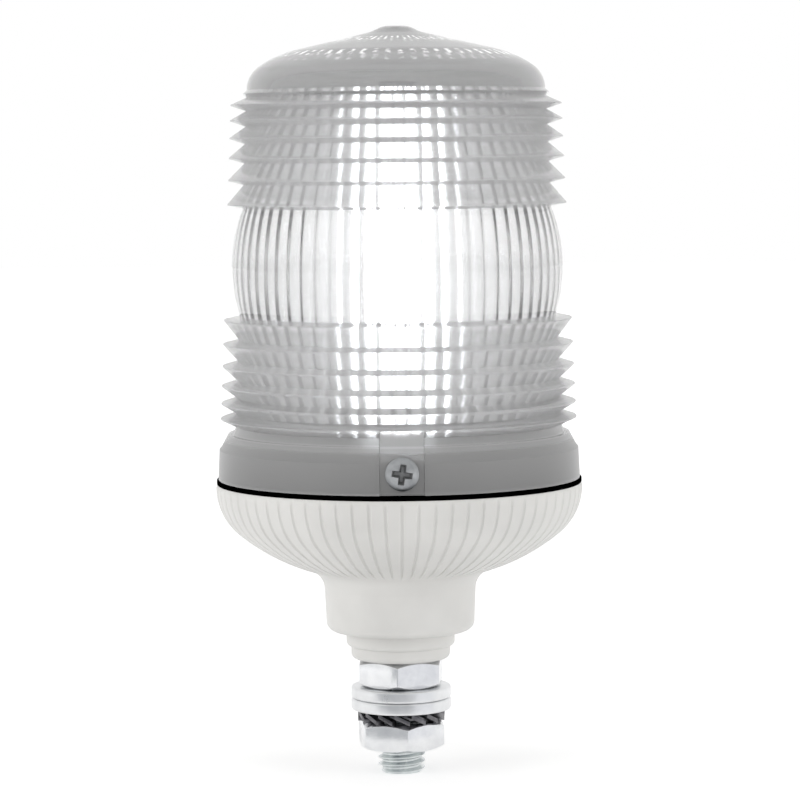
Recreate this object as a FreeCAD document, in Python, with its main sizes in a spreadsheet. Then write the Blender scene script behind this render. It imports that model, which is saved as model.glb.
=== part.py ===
import FreeCAD, Part
import math
import operator
import os
from types import SimpleNamespace

import Sketcher

# Xenon strobe beacon: a clear drum lens over a white bowl on an M10 stud.
# Millimetres. +Z is up along the stud. The origin is on the stud's axis, on the underside of
# the upper washer, where the top of a mounting panel sits. The front screw of the lens faces -Y.

# Driving sizes: alias, value (millimetres, degrees or a count), what it measures
SIZES = [
    # Mounting hardware, M10
    ("stud_radius", 5.0, "stud over its thread"),
    ("stud_bore", 2.6, "radius of the wire passage through the stud"),
    ("stud_tail", 5.3, "free thread below the clamp nut"),
    ("stud_chamfer", 0.9, "bevel on the end of the stud"),
    ("stud_head_flats", 14.0, "captive head across its flats"),
    ("stud_head_height", 5.0, "height of the captive head"),
    ("thread_play", 0.05, "radial play of a nut on its thread"),
    ("nut_flats", 17.0, "nut across its flats"),
    ("nut_height", 5.85, "thin nut, height"),
    ("nut_bevel", 30.0, "slope of the bevel on a nut's corners"),
    ("nut_land", 0.45, "flat left between a nut's bevel and its flats"),
    ("nut_countersink", 0.7, "bevel at the mouth of a nut's bore"),
    ("jam_nut_turn", -95.3, "direction of a corner of the jam nut, in degrees from +X"),
    ("clamp_nut_turn", -83.0, "direction of a corner of the clamp nut, in degrees from +X"),
    ("washer_radius", 10.6, "flat washer, outside"),
    ("washer_bore", 5.25, "washers, radius of the hole"),
    ("washer_thickness", 2.5, "flat washer, thickness"),
    ("washer_edge", 0.5, "rounding on a flat washer's rim"),
    ("lock_radius", 9.2, "tooth lock washer, over its teeth"),
    ("lock_ring_width", 1.9, "tooth lock washer, width of its plain ring"),
    ("lock_sheet", 0.9, "tooth lock washer, sheet thickness"),
    ("lock_height", 2.4, "tooth lock washer, height over its twisted teeth"),
    ("lock_teeth", 16, "number of teeth"),
    ("lock_tooth_width", 3.2, "width of a tooth"),
    # White collar under the neck
    ("collar_nose_radius", 10.5, "lower step of the collar"),
    ("collar_nose_height", 2.7, "height of the lower step"),
    ("collar_flange_radius", 11.5, "upper step of the collar"),
    ("collar_flange_height", 3.3, "height of the upper step"),
    ("collar_edge", 1.2, "rounding on the lower edge of each step"),
    ("collar_spigot_radius", 10.0, "threaded spigot inside the neck"),
    ("collar_spigot_length", 10.0, "length of the spigot"),
    ("stud_play", 0.1, "radial play of the stud in the collar"),
    ("ring_nut_width", 2.7, "ring nut on the spigot, radial width"),
    ("ring_nut_height", 4.0, "ring nut, height"),
    ("ring_nut_notch", 3.0, "width of a spanner notch in the ring nut"),
    ("ring_nut_notches", 4, "number of spanner notches"),
    # White base: neck and ribbed bowl
    ("neck_radius", 16.0, "neck under the bowl"),
    ("neck_draft", 0.3, "how much narrower the neck is at its foot"),
    ("neck_edge", 2.0, "rounding on the foot of the neck"),
    ("neck_floor", 2.5, "floor of the neck"),
    ("neck_fillet", 4.5, "fillet between neck and bowl"),
    ("base_height", 31.65, "foot of the neck to the rim of the bowl"),
    ("base_wall", 2.4, "wall of the bowl and the neck"),
    ("bowl_radius", 38.7, "bowl at its widest"),
    ("bowl_knuckle", 12.5, "small radius of the bowl's profile, under the rim"),
    ("bowl_turn", 50.0, "angle that the small radius turns through"),
    ("bowl_sweep", 42.0, "large radius of the bowl's profile"),
    ("rim_band", 0.9, "height of the rim above the widest point"),
    ("rim_draft", 0.2, "how much narrower the rim is at its top"),
    ("groove_count", 72, "grooves round the bowl"),
    ("groove_width", 1.1, "width of a groove"),
    ("groove_depth", 0.4, "depth of a groove"),
    ("groove_top", 0.6, "smooth band between the widest point and the grooves"),
    ("groove_end", 1.0, "smooth band between the grooves and the neck fillet"),
    ("post_radius", 3.2, "posts in the bowl that carry the chassis"),
    ("post_inset", 5.2, "centre of a post inside the rim's opening"),
    ("post_drop", 3.1, "top of the posts below the rim"),
    ("screw_count", 3, "screws in each ring of screws"),
    # Gasket
    ("gasket_thickness", 0.9, "gasket between bowl and lens"),
    ("gasket_setback", 0.3, "gasket inside the widest point of the bowl"),
    # Lens
    ("skirt_setback", 0.5, "skirt inside the widest point of the bowl"),
    ("skirt_height", 6.8, "height of the plain skirt"),
    ("skirt_draft", 0.3, "how much narrower the skirt is at its top"),
    ("shoulder_step", 0.4, "small ledge where the shoulder starts"),
    ("shoulder_width", 3.9, "skirt's foot to the foot of the prism rings, radially"),
    ("shoulder_height", 4.45, "height of the sloping shoulder"),
    ("lens_draft", 2.46, "taper of the drum, in degrees"),
    ("lens_wall", 2.2, "wall at the roots of the rings and in the dome"),
    ("ring_count", 6, "prism rings above the belt, and as many below"),
    ("ring_depth", 3.3, "depth of a prism ring"),
    ("ring_pitch_near", 4.9, "pitch of the ring beside the belt"),
    ("ring_pitch_far", 2.8, "pitch of the ring furthest from the belt"),
    ("ring_tip_near", 0.15, "tip's place in its pitch, beside the belt"),
    ("ring_tip_far", 0.43, "tip's place in its pitch, furthest from the belt"),
    ("belt_height", 22.7, "height of the barrel belt"),
    ("belt_bulge", 2.0, "how far the belt swells out"),
    ("lip_depth", 0.8, "thin lip under the dome"),
    ("lip_height", 1.5, "height of that lip"),
    ("dome_corner", 6.0, "small radius of the dome's profile, above the lip"),
    ("dome_turn", 55.0, "angle that the small radius turns through"),
    ("dome_sweep", 22.0, "large radius of the dome's profile"),
    ("dome_slope", 13.0, "slope of the dome round its nub, in degrees"),
    ("nub_radius", 7.0, "foot of the nub on the dome"),
    ("nub_top_radius", 2.7, "top of the nub"),
    ("nub_height", 1.6, "height of the nub"),
    ("flute_count", 60, "vertical flutes on the inner wall"),
    ("flute_width", 2.8, "width of a flute"),
    ("flute_depth", 0.5, "depth of a flute"),
    ("pad_width", 9.0, "flat pad under a lens screw"),
    ("pad_depth", 0.9, "pad inside the foot of the skirt, radially"),
    ("screw_rise", 4.3, "lens screws above the foot of the skirt"),
    ("lens_screw_radius", 1.4, "lens screw, shank"),
    ("lens_screw_head", 3.4, "lens screw, radius of its head"),
    ("lens_screw_head_height", 2.0, "lens screw, height of its head"),
    ("lens_screw_length", 7.4, "lens screw, under its head"),
    ("screw_play", 0.1, "radial play of a screw in its hole"),
    # Chassis, board and reflector
    ("fit_gap", 0.15, "gap between parts that slip into each other"),
    ("chassis_wall", 2.5, "ring wall of the chassis"),
    ("chassis_floor", 2.0, "floor of the chassis"),
    ("chassis_shelf", 9.4, "width of the chassis floor inside the wall"),
    ("chassis_setback", 0.2, "top of the chassis below the top of the skirt"),
    ("boss_radius", 2.2, "chassis boss round a lens screw"),
    ("boss_length", 4.0, "length of that boss"),
    ("board_thickness", 1.6, "circuit board"),
    ("chassis_screw_radius", 1.3, "chassis screw, shank"),
    ("chassis_screw_head", 2.1, "chassis screw, radius of its head"),
    ("chassis_screw_head_height", 1.6, "chassis screw, height of its head"),
    ("chassis_screw_bite", 6.0, "chassis screw, length in its post"),
    ("reflector_thickness", 1.2, "reflector plate"),
    ("reflector_lap", 0.8, "reflector's lap on the chassis wall"),
    # Flash lamp
    ("socket_flange_radius", 13.0, "foot of the tube socket"),
    ("socket_flange_height", 2.4, "height of that foot"),
    ("socket_radius", 11.8, "body of the tube socket"),
    ("socket_height", 11.4, "tube socket, in all"),
    ("tube_radius", 2.5, "flash tube, outside"),
    ("tube_wall", 0.8, "flash tube, glass wall"),
    ("tube_spread", 4.5, "leg of the flash tube from the axis"),
    ("tube_seat", 6.0, "depth of a leg in the socket"),
    ("tube_room", 4.0, "top of the bend below the inside of the envelope"),
    ("electrode_length", 9.0, "electrode, from the foot of the leg upwards"),
    ("envelope_radius", 10.0, "protective glass, outside"),
    ("envelope_wall", 1.0, "protective glass, wall"),
    ("envelope_seat", 2.0, "depth of the protective glass in the socket"),
    ("envelope_headroom", 4.3, "top of the protective glass below the foot of the dome"),
    ("trigger_wire_radius", 0.3, "trigger wire"),
    ("trigger_wire_drop", 14.0, "end of the trigger wire below the bend"),
    # Parts under the board
    ("part_margin", 1.2, "parts inside the opening of the chassis"),
    ("capacitor_radius", 8.0, "storage capacitor"),
    ("capacitor_height", 11.5, "storage capacitor, height"),
    ("capacitor_crimp", 0.6, "storage capacitor, depth of its crimp"),
    ("capacitor_crimp_drop", 1.8, "storage capacitor, crimp below the board"),
    ("core_width", 16.0, "transformer core, width"),
    ("core_height", 11.0, "transformer core, height"),
    ("core_depth", 7.0, "transformer core, depth"),
    ("core_limb", 2.6, "outer limbs and yokes of the core"),
    ("core_middle", 4.0, "middle limb of the core"),
    ("winding_gap", 0.2, "winding to the core's outer limbs"),
    ("coil_radius", 4.0, "trigger coil, over its flanges"),
    ("coil_height", 9.0, "trigger coil, height"),
    ("coil_flange", 1.0, "trigger coil, flange"),
    ("coil_neck", 0.7, "depth of the winding below the flanges"),
    ("block_width", 12.0, "terminal block, width"),
    ("block_depth", 8.0, "terminal block, depth"),
    ("block_height", 9.0, "terminal block, height"),
    ("block_pitch", 5.0, "distance between its terminals"),
    ("block_wire_hole", 1.4, "radius of its wire holes"),
    ("block_screw_radius", 1.6, "terminal screw"),
    ("block_screw_length", 3.0, "terminal screw, length"),
]

OPERATIONS = {
    "+": operator.add,
    "-": operator.sub,
    "*": operator.mul,
    "/": operator.truediv,
}


class Size:
    """A number together with the sheet formula that it comes from."""

    def __init__(self, value, formula):
        self.value = float(value)
        self.formula = formula

    def __add__(self, other):
        return joined(self, "+", other)

    def __radd__(self, other):
        return joined(other, "+", self)

    def __sub__(self, other):
        return joined(self, "-", other)

    def __rsub__(self, other):
        return joined(other, "-", self)

    def __mul__(self, other):
        return joined(self, "*", other)

    def __rmul__(self, other):
        return joined(other, "*", self)

    def __truediv__(self, other):
        return joined(self, "/", other)

    def __neg__(self):
        return joined(0, "-", self)


def sized(number):
    """A plain number as a Size."""
    if isinstance(number, Size):
        return number
    return Size(number, repr(float(number)))


def joined(first, sign, second):
    """Two sizes joined by an operation, as a number and as a formula."""
    first = sized(first)
    second = sized(second)
    value = OPERATIONS[sign](first.value, second.value)
    return Size(value, f"({first.formula} {sign} {second.formula})")


def sine(degrees):
    degrees = sized(degrees)
    return Size(math.sin(math.radians(degrees.value)), f"sin({degrees.formula})")


def cosine(degrees):
    degrees = sized(degrees)
    return Size(math.cos(math.radians(degrees.value)), f"cos({degrees.formula})")


def square_root(size):
    return Size(math.sqrt(size.value), f"sqrt({size.formula})")


def outside(size):
    """The formula of a size as other objects of the document read it."""
    return size.formula.format("Dims.")


doc = FreeCAD.newDocument("strobe_beacon")
sheet = doc.addObject("Spreadsheet::Sheet", "Dims")
dims = SimpleNamespace()
next_row = [1]


def add_row(alias, content, value, words):
    """One row of the sheet: words, cell with its alias, and the Size that stands for it."""
    row = next_row[0]
    next_row[0] = row + 1
    sheet.set(f"A{row}", words)
    sheet.set(f"B{row}", content)
    sheet.setAlias(f"B{row}", alias)
    size = Size(value, "{0}" + alias)
    setattr(dims, alias, size)
    return size


def level(alias, size, words):
    """A size worked out from others, kept in the sheet under a name of its own."""
    return add_row(alias, "=" + size.formula.format(""), size.value, words)


for size_alias, size_value, size_words in SIZES:
    add_row(size_alias, str(size_value), size_value, size_words)


# Heights up the axis
level("jam_top", dims.washer_thickness + dims.nut_height, "top of the jam nut")
level("clamp_top", -dims.washer_thickness - dims.lock_height, "top of the clamp nut")
level("clamp_foot", dims.clamp_top - dims.nut_height, "underside of the clamp nut")
level("stud_end", dims.clamp_foot - dims.stud_tail, "free end of the stud")
level("collar_step", dims.jam_top + dims.collar_nose_height, "between the collar's steps")
level("neck_foot", dims.collar_step + dims.collar_flange_height, "underside of the neck")
level("collar_top", dims.neck_foot + dims.collar_spigot_length, "top of the collar's spigot")
level("stud_seat", dims.collar_top - dims.stud_head_height, "seat of the stud's head")
level("rim_top", dims.neck_foot + dims.base_height, "rim of the bowl")
level("bowl_wide", dims.rim_top - dims.rim_band, "widest point of the bowl")
level("post_top", dims.rim_top - dims.post_drop, "top of the posts")
level("lens_foot", dims.rim_top + dims.gasket_thickness, "underside of the lens")
level("skirt_top", dims.lens_foot + dims.skirt_height, "top of the skirt")
level("screw_axis", dims.lens_foot + dims.screw_rise, "height of the lens screws")
level("ring_foot", dims.skirt_top + dims.shoulder_height, "foot of the lower rings")
level(
    "ring_zone",
    dims.ring_count * (dims.ring_pitch_near + dims.ring_pitch_far) / 2,
    "height of a zone of rings",
)
level("belt_foot", dims.ring_foot + dims.ring_zone, "foot of the belt")
level("belt_top", dims.belt_foot + dims.belt_height, "top of the belt")
level("ring_top", dims.belt_top + dims.ring_zone, "top of the upper rings")
level("dome_foot", dims.ring_top + dims.lip_height, "foot of the dome")
level("chassis_top", dims.skirt_top - dims.chassis_setback, "top of the chassis wall")
level("board_foot", dims.post_top + dims.chassis_floor, "underside of the board")
level("board_top", dims.board_foot + dims.board_thickness, "top of the board")
level("socket_top", dims.board_top + dims.socket_height, "top of the tube socket")
level("tube_foot", dims.socket_top - dims.tube_seat, "foot of the flash tube")
level("envelope_top", dims.dome_foot - dims.envelope_headroom, "top of the protective glass")
level("envelope_foot", dims.socket_top - dims.envelope_seat, "foot of the protective glass")
level(
    "bend_centre",
    dims.envelope_top - dims.envelope_wall - dims.tube_room - dims.tube_spread - dims.tube_radius,
    "centre of the tube's bend",
)

# Radii
level("rim_opening", dims.bowl_radius - dims.rim_draft - dims.base_wall, "opening of the rim")
level("skirt_radius", dims.bowl_radius - dims.skirt_setback, "foot of the skirt")
level("chassis_radius", dims.rim_opening - dims.fit_gap, "outside of the chassis")
level("chassis_inside", dims.chassis_radius - dims.chassis_wall, "inside of the chassis wall")
level("opening_radius", dims.chassis_inside - dims.chassis_shelf, "opening in the chassis floor")
level("skirt_inside", dims.chassis_radius + dims.fit_gap, "inside of the skirt")
level("ring_root", dims.skirt_radius - dims.shoulder_width, "foot of the lower rings")
level("pad_plane", dims.skirt_radius - dims.pad_depth, "screw pad from the axis")
level("post_circle", dims.rim_opening - dims.post_inset, "posts from the axis")
level("neck_inside", dims.neck_radius - dims.base_wall, "inside of the neck")

# Profile of the bowl: two tangent arcs, and the fillet that meets the neck
level("knuckle_x", dims.bowl_radius - dims.bowl_knuckle, "centre of the small radius, from the axis")
level(
    "sweep_x",
    dims.knuckle_x - (dims.bowl_sweep - dims.bowl_knuckle) * cosine(dims.bowl_turn),
    "centre of the large radius, from the axis",
)
level(
    "sweep_z",
    dims.bowl_wide + (dims.bowl_sweep - dims.bowl_knuckle) * sine(dims.bowl_turn),
    "centre of the large radius, height",
)
level("fillet_x", dims.neck_radius + dims.neck_fillet, "centre of the neck fillet, from the axis")
level("fillet_reach", dims.bowl_sweep + dims.neck_fillet, "between the two centres")
level("fillet_run", dims.fillet_x - dims.sweep_x, "between the two centres, across")
level(
    "fillet_rise",
    square_root(dims.fillet_reach * dims.fillet_reach - dims.fillet_run * dims.fillet_run),
    "between the two centres, upwards",
)
level("fillet_z", dims.sweep_z - dims.fillet_rise, "centre of the neck fillet, height")

# Slopes
level("draft_slope", sine(dims.lens_draft) / cosine(dims.lens_draft), "taper of the drum, as a slope")
level("dome_rise", sine(dims.dome_slope) / cosine(dims.dome_slope), "slope of the dome, as a slope")

doc.recompute()


# Drawing and feature helpers


def new_body(label):
    body = doc.addObject("PartDesign::Body", label)
    body.Label = label
    return body


def origin_feature(body, role):
    for feature in body.Origin.OriginFeatures:
        if feature.Role == role:
            return feature
    raise ValueError(role)


def new_sketch(body, name, role, lift=None, rise=None):
    """A sketch on one of the body's planes, moved along the plane's normal or up in the plane."""
    sketch = body.newObject("Sketcher::SketchObject", name)
    sketch.AttachmentSupport = (origin_feature(body, role), [""])
    sketch.MapMode = "FlatFace"
    if lift is not None:
        sketch.setExpression(".AttachmentOffset.Base.z", outside(lift))
    if rise is not None:
        sketch.setExpression(".AttachmentOffset.Base.y", outside(rise))
    return sketch


def pin_point(rules, formulas, geometry, end, x, y):
    """Holds one end of a line or arc at its place from the sketch's origin."""
    for kind, place in (("DistanceX", sized(x)), ("DistanceY", sized(y))):
        formulas.append((len(rules), place))
        rules.append(Sketcher.Constraint(kind, -1, 1, geometry, end, place.value))


def keep(sketch, rules, formulas):
    """Adds the constraints, and ties each size among them to the sheet."""
    first = sketch.ConstraintCount
    sketch.addConstraint(rules)
    for index, size in formulas:
        if "{0}" in size.formula:
            sketch.setExpression(f"Constraints[{first + index}]", outside(size))


def arc_centre(start, end, radius):
    """Centre of the short arc between two points, to the left of its chord if radius is positive."""
    across = end[0] - start[0]
    upward = end[1] - start[1]
    chord = math.hypot(across, upward)
    height = math.sqrt(radius * radius - chord * chord / 4)
    side = math.copysign(height, radius) / chord
    return (
        (start[0] + end[0]) / 2 - upward * side,
        (start[1] + end[1]) / 2 + across * side,
    )


def draw(sketch, points):
    """A closed outline. A point is (x, y), or (x, y, radius) where an arc leads to it:
    a positive radius bends to the left, a negative one to the right."""
    rules = []
    formulas = []
    first = sketch.GeometryCount
    count = len(points)
    ends = []
    for index, point in enumerate(points):
        before = points[index - 1]
        start = (sized(before[0]).value, sized(before[1]).value)
        end = (sized(point[0]).value, sized(point[1]).value)
        if len(point) == 2:
            line = Part.LineSegment(FreeCAD.Vector(*start, 0), FreeCAD.Vector(*end, 0))
            sketch.addGeometry(line)
            ends.append((1, 2))
            continue
        bend = sized(point[2])
        centre = arc_centre(start, end, bend.value)
        circle = Part.Circle(
            FreeCAD.Vector(*centre, 0), FreeCAD.Vector(0, 0, 1), abs(bend.value)
        )
        angles = [math.atan2(p[1] - centre[1], p[0] - centre[0]) for p in (start, end)]
        if bend.value < 0:
            angles.reverse()
        if angles[1] < angles[0]:
            angles[1] += 2 * math.pi
        sketch.addGeometry(Part.ArcOfCircle(circle, angles[0], angles[1]))
        ends.append((1, 2) if bend.value > 0 else (2, 1))
        formulas.append((len(rules), bend if bend.value > 0 else -bend))
        rules.append(Sketcher.Constraint("Radius", first + index, abs(bend.value)))
    for index, point in enumerate(points):
        after = (index + 1) % count
        rules.append(
            Sketcher.Constraint(
                "Coincident", first + index, ends[index][1], first + after, ends[after][0]
            )
        )
        pin_point(rules, formulas, first + index, ends[index][1], point[0], point[1])
    keep(sketch, rules, formulas)


def draw_circle(sketch, x, y, radius):
    centre = FreeCAD.Vector(sized(x).value, sized(y).value, 0)
    geometry = sketch.GeometryCount
    sketch.addGeometry(Part.Circle(centre, FreeCAD.Vector(0, 0, 1), radius.value))
    rules = [Sketcher.Constraint("Radius", geometry, radius.value)]
    formulas = [(0, radius)]
    pin_point(rules, formulas, geometry, 3, x, y)
    keep(sketch, rules, formulas)


def draw_box(sketch, left, low, right, high):
    draw(sketch, [(left, low), (right, low), (right, high), (left, high)])


def draw_hexagon(sketch, flats, turn):
    """A hexagon by its width across flats, its first corner turned from the x axis."""
    corner = flats / 2 / cosine(30)
    angles = [turn + 60 * k for k in range(6)]
    draw(sketch, [(corner * cosine(a), corner * sine(a)) for a in angles])


def revolve(body, name, sketch, axis="V_Axis"):
    feature = body.newObject("PartDesign::Revolution", name)
    feature.Profile = sketch
    feature.ReferenceAxis = (sketch, [axis])
    feature.Angle = 360
    return feature


def turn_away(body, name, sketch, axis="V_Axis"):
    """A cut that is turned all the way round an axis."""
    feature = body.newObject("PartDesign::Groove", name)
    feature.Profile = sketch
    feature.ReferenceAxis = (sketch, [axis])
    feature.Angle = 360
    return feature


def pad(body, name, sketch, length, reverse=False, both=False):
    feature = body.newObject("PartDesign::Pad", name)
    feature.Profile = sketch
    feature.setExpression("Length", outside(length))
    feature.Reversed = reverse
    feature.Midplane = both
    return feature


def pocket(body, name, sketch, length, reverse=False, both=False):
    feature = body.newObject("PartDesign::Pocket", name)
    feature.Profile = sketch
    feature.setExpression("Length", outside(length))
    feature.Reversed = reverse
    feature.Midplane = both
    return feature


def ring_of(body, name, features, count):
    """Copies of some features round the Z axis."""
    pattern = body.newObject("PartDesign::PolarPattern", name)
    pattern.Originals = features
    pattern.Axis = (origin_feature(body, "Z_Axis"), [""])
    pattern.Angle = 360
    pattern.setExpression("Occurrences", outside(count))
    body.Tip = pattern
    return pattern


def turned(label, points):
    """A piece that is one outline turned round the Z axis."""
    body = new_body(label)
    sketch = new_sketch(body, label + "_profile", "XZ_Plane")
    draw(sketch, points)
    revolve(body, label + "_turned", sketch)
    return body


# Mounting hardware


def make_mounting_stud():
    d = dims
    body = turned(
        "mounting_stud",
        [
            (d.stud_bore, d.stud_end),
            (d.stud_radius - d.stud_chamfer, d.stud_end),
            (d.stud_radius, d.stud_end + d.stud_chamfer),
            (d.stud_radius, d.collar_top),
            (d.stud_bore, d.collar_top),
        ],
    )
    sketch = new_sketch(body, "head_outline", "XY_Plane", lift=d.stud_seat)
    draw_hexagon(sketch, d.stud_head_flats, 0)
    draw_circle(sketch, 0, 0, d.stud_bore)
    pad(body, "head", sketch, d.stud_head_height)
    return body


def make_nut(label, foot, turn):
    """A thin hexagon nut, bevelled on both faces, with a bevelled bore."""
    d = dims
    body = new_body(label)
    sketch = new_sketch(body, label + "_hexagon", "XY_Plane", lift=foot)
    draw_hexagon(sketch, d.nut_flats, turn)
    pad(body, label + "_blank", sketch, d.nut_height)
    bore = d.stud_radius + d.thread_play
    sketch = new_sketch(body, label + "_bore", "XZ_Plane")
    top = foot + d.nut_height
    draw(
        sketch,
        [
            (0, foot),
            (bore + d.nut_countersink, foot),
            (bore, foot + d.nut_countersink),
            (bore, top - d.nut_countersink),
            (bore + d.nut_countersink, top),
            (0, top),
        ],
    )
    turn_away(body, label + "_bored", sketch)
    slope = sine(d.nut_bevel) / cosine(d.nut_bevel)
    face = d.nut_flats / 2 - d.nut_land
    reach = d.nut_flats
    drop = (reach - face) * slope
    for name, level_z, way in (("foot", foot, drop), ("top", top, -drop)):
        sketch = new_sketch(body, f"{label}_{name}_bevel", "XZ_Plane")
        draw(sketch, [(face, level_z), (reach, level_z), (reach, level_z + way)])
        turn_away(body, f"{label}_{name}_bevelled", sketch)
    return body


def make_washer(label, foot):
    d = dims
    top = foot + d.washer_thickness
    return turned(
        label,
        [
            (d.washer_bore, foot),
            (d.washer_radius - d.washer_edge, foot),
            (d.washer_radius, foot + d.washer_edge, d.washer_edge),
            (d.washer_radius, top - d.washer_edge),
            (d.washer_radius - d.washer_edge, top, d.washer_edge),
            (d.washer_bore, top),
        ],
    )


def make_tooth_lock_washer():
    """A plain ring with twisted teeth: one edge of each stands over the ring, the other under it."""
    d = dims
    foot = d.clamp_top
    middle = foot + d.lock_height / 2
    ring = d.washer_bore + d.lock_ring_width
    body = turned(
        "tooth_lock_washer",
        [
            (d.washer_bore, middle - d.lock_sheet / 2),
            (ring, middle - d.lock_sheet / 2),
            (ring, middle + d.lock_sheet / 2),
            (d.washer_bore, middle + d.lock_sheet / 2),
        ],
    )
    # A tooth, seen from outside: a strip that slants from upper left to lower right
    half = d.lock_tooth_width / 2
    rise = d.lock_height / 2
    root = ring - d.lock_sheet / 2
    sketch = new_sketch(body, "tooth_outline", "XZ_Plane", lift=root)
    draw(
        sketch,
        [
            (-half, middle + rise - d.lock_sheet),
            (half, middle - rise),
            (half, middle - rise + d.lock_sheet),
            (-half, middle + rise),
        ],
    )
    tooth = pad(body, "tooth", sketch, d.lock_radius - root)
    ring_of(body, "teeth", [tooth], d.lock_teeth)
    return body


# White collar


def make_stud_collar():
    d = dims
    bore = d.stud_radius + d.stud_play
    body = turned(
        "stud_collar",
        [
            (bore, d.jam_top),
            (d.collar_nose_radius - d.collar_edge, d.jam_top),
            (d.collar_nose_radius, d.jam_top + d.collar_edge, d.collar_edge),
            (d.collar_nose_radius, d.collar_step),
            (d.collar_flange_radius, d.collar_step + d.collar_edge, d.collar_edge),
            (d.collar_flange_radius, d.neck_foot),
            (d.collar_spigot_radius, d.neck_foot),
            (d.collar_spigot_radius, d.collar_top),
            (bore, d.collar_top),
        ],
    )
    sketch = new_sketch(body, "head_seat", "XY_Plane", lift=d.collar_top)
    draw_hexagon(sketch, d.stud_head_flats + 2 * d.stud_play, 0)
    pocket(body, "head_pocket", sketch, d.stud_head_height)
    return body


def make_collar_ring_nut():
    d = dims
    foot = d.neck_foot + d.neck_floor
    top = foot + d.ring_nut_height
    bore = d.collar_spigot_radius + d.thread_play
    rim = bore + d.ring_nut_width
    body = turned("collar_ring_nut", [(bore, foot), (rim, foot), (rim, top), (bore, top)])
    sketch = new_sketch(body, "notch_outline", "XY_Plane", lift=top)
    half = d.ring_nut_notch / 2
    draw_box(sketch, -half, rim - d.ring_nut_width / 2, half, rim + d.ring_nut_width)
    notch = pocket(body, "notch", sketch, d.ring_nut_height)
    ring_of(body, "notches", [notch], d.ring_nut_notches)
    return body


# White base


def bowl_arcs(inset):
    """The bowl's profile, set in by a distance: the point where its two arcs meet, and their radii."""
    d = dims
    knuckle = d.bowl_knuckle - inset
    sweep = d.bowl_sweep - inset
    turn_x = d.knuckle_x + knuckle * cosine(d.bowl_turn)
    turn_z = d.bowl_wide - knuckle * sine(d.bowl_turn)
    return (turn_x, turn_z), knuckle, sweep


def on_sweep(x, sweep):
    """Height of the large arc at a distance from the axis."""
    run = x - dims.sweep_x
    return dims.sweep_z - square_root(sweep * sweep - run * run)


def make_bowl_outside():
    """The solid outside of the base, with its ring of grooves."""
    d = dims
    turn, knuckle, sweep = bowl_arcs(0)
    # Where the fillet leaves the large arc
    share = d.neck_fillet / d.fillet_reach
    leave_x = d.fillet_x - d.fillet_run * share
    leave_z = d.fillet_z + d.fillet_rise * share
    foot_radius = d.neck_radius - d.neck_draft
    body = turned(
        "bowl_outside",
        [
            (0, d.neck_foot),
            (foot_radius - d.neck_edge, d.neck_foot),
            (foot_radius, d.neck_foot + d.neck_edge, d.neck_edge),
            (d.neck_radius, d.fillet_z),
            (leave_x, leave_z, -d.neck_fillet),
            (turn[0], turn[1], sweep),
            (d.bowl_radius, d.bowl_wide, knuckle),
            (d.bowl_radius - d.rim_draft, d.rim_top),
            (0, d.rim_top),
        ],
    )
    # One groove: the strip between the bowl and a profile set in by the groove's depth
    inner, inner_knuckle, inner_sweep = bowl_arcs(d.groove_depth)
    start_x = leave_x + d.groove_end
    start_z = on_sweep(start_x, inner_sweep)
    top = d.bowl_wide - d.groove_top
    top_run = square_root(inner_knuckle * inner_knuckle - d.groove_top * d.groove_top)
    clear = d.bowl_radius + d.groove_depth
    sketch = new_sketch(body, "groove_outline", "XZ_Plane")
    draw(
        sketch,
        [
            (start_x, start_z - d.base_wall),
            (clear, start_z - d.base_wall),
            (clear, top),
            (d.knuckle_x + top_run, top),
            (inner[0], inner[1], -inner_knuckle),
            (start_x, start_z, -inner_sweep),
        ],
    )
    groove = pocket(body, "groove", sketch, d.groove_width, both=True)
    ring_of(body, "grooves", [groove], d.groove_count)
    return body


def make_bowl_inside():
    """The hollow of the base, less the posts, with the pilot holes in them."""
    d = dims
    turn, knuckle, sweep = bowl_arcs(d.base_wall)
    hole = d.collar_spigot_radius + d.stud_play
    above = d.rim_top + d.base_wall
    body = turned(
        "bowl_inside",
        [
            (0, d.neck_foot - d.base_wall),
            (hole, d.neck_foot - d.base_wall),
            (hole, d.neck_foot + d.neck_floor),
            (d.neck_inside, d.neck_foot + d.neck_floor),
            (d.neck_inside, on_sweep(d.neck_inside, sweep)),
            (turn[0], turn[1], sweep),
            (d.knuckle_x + knuckle, d.bowl_wide, knuckle),
            (d.rim_opening, d.bowl_wide),
            (d.rim_opening, above),
            (0, above),
        ],
    )
    sketch = new_sketch(body, "post_outline", "XY_Plane", lift=d.post_top)
    draw_circle(sketch, 0, d.post_circle, d.post_radius)
    post = pocket(body, "post", sketch, d.base_height)
    sketch = new_sketch(body, "pilot_outline", "XY_Plane", lift=d.post_top)
    draw_circle(sketch, 0, d.post_circle, d.chassis_screw_radius + d.screw_play)
    ring_of(body, "posts", [post], d.screw_count)
    pilot = pad(body, "pilot", sketch, d.chassis_screw_bite + d.screw_play, reverse=True)
    ring_of(body, "pilots", [pilot], d.screw_count)
    return body


def make_base_housing():
    base = doc.addObject("Part::Cut", "base_housing")
    base.Base = make_bowl_outside()
    base.Tool = make_bowl_inside()
    base.Label = "base_housing"
    return base


def make_lens_gasket():
    d = dims
    rim = d.bowl_radius - d.gasket_setback
    return turned(
        "lens_gasket",
        [
            (d.rim_opening, d.rim_top),
            (rim, d.rim_top),
            (rim, d.lens_foot),
            (d.rim_opening, d.lens_foot),
        ],
    )


# Lens


def root_radius(height):
    """Radius of the drum at the roots of its rings: it narrows upwards."""
    return dims.ring_root - (height - dims.ring_foot) * dims.draft_slope


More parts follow.
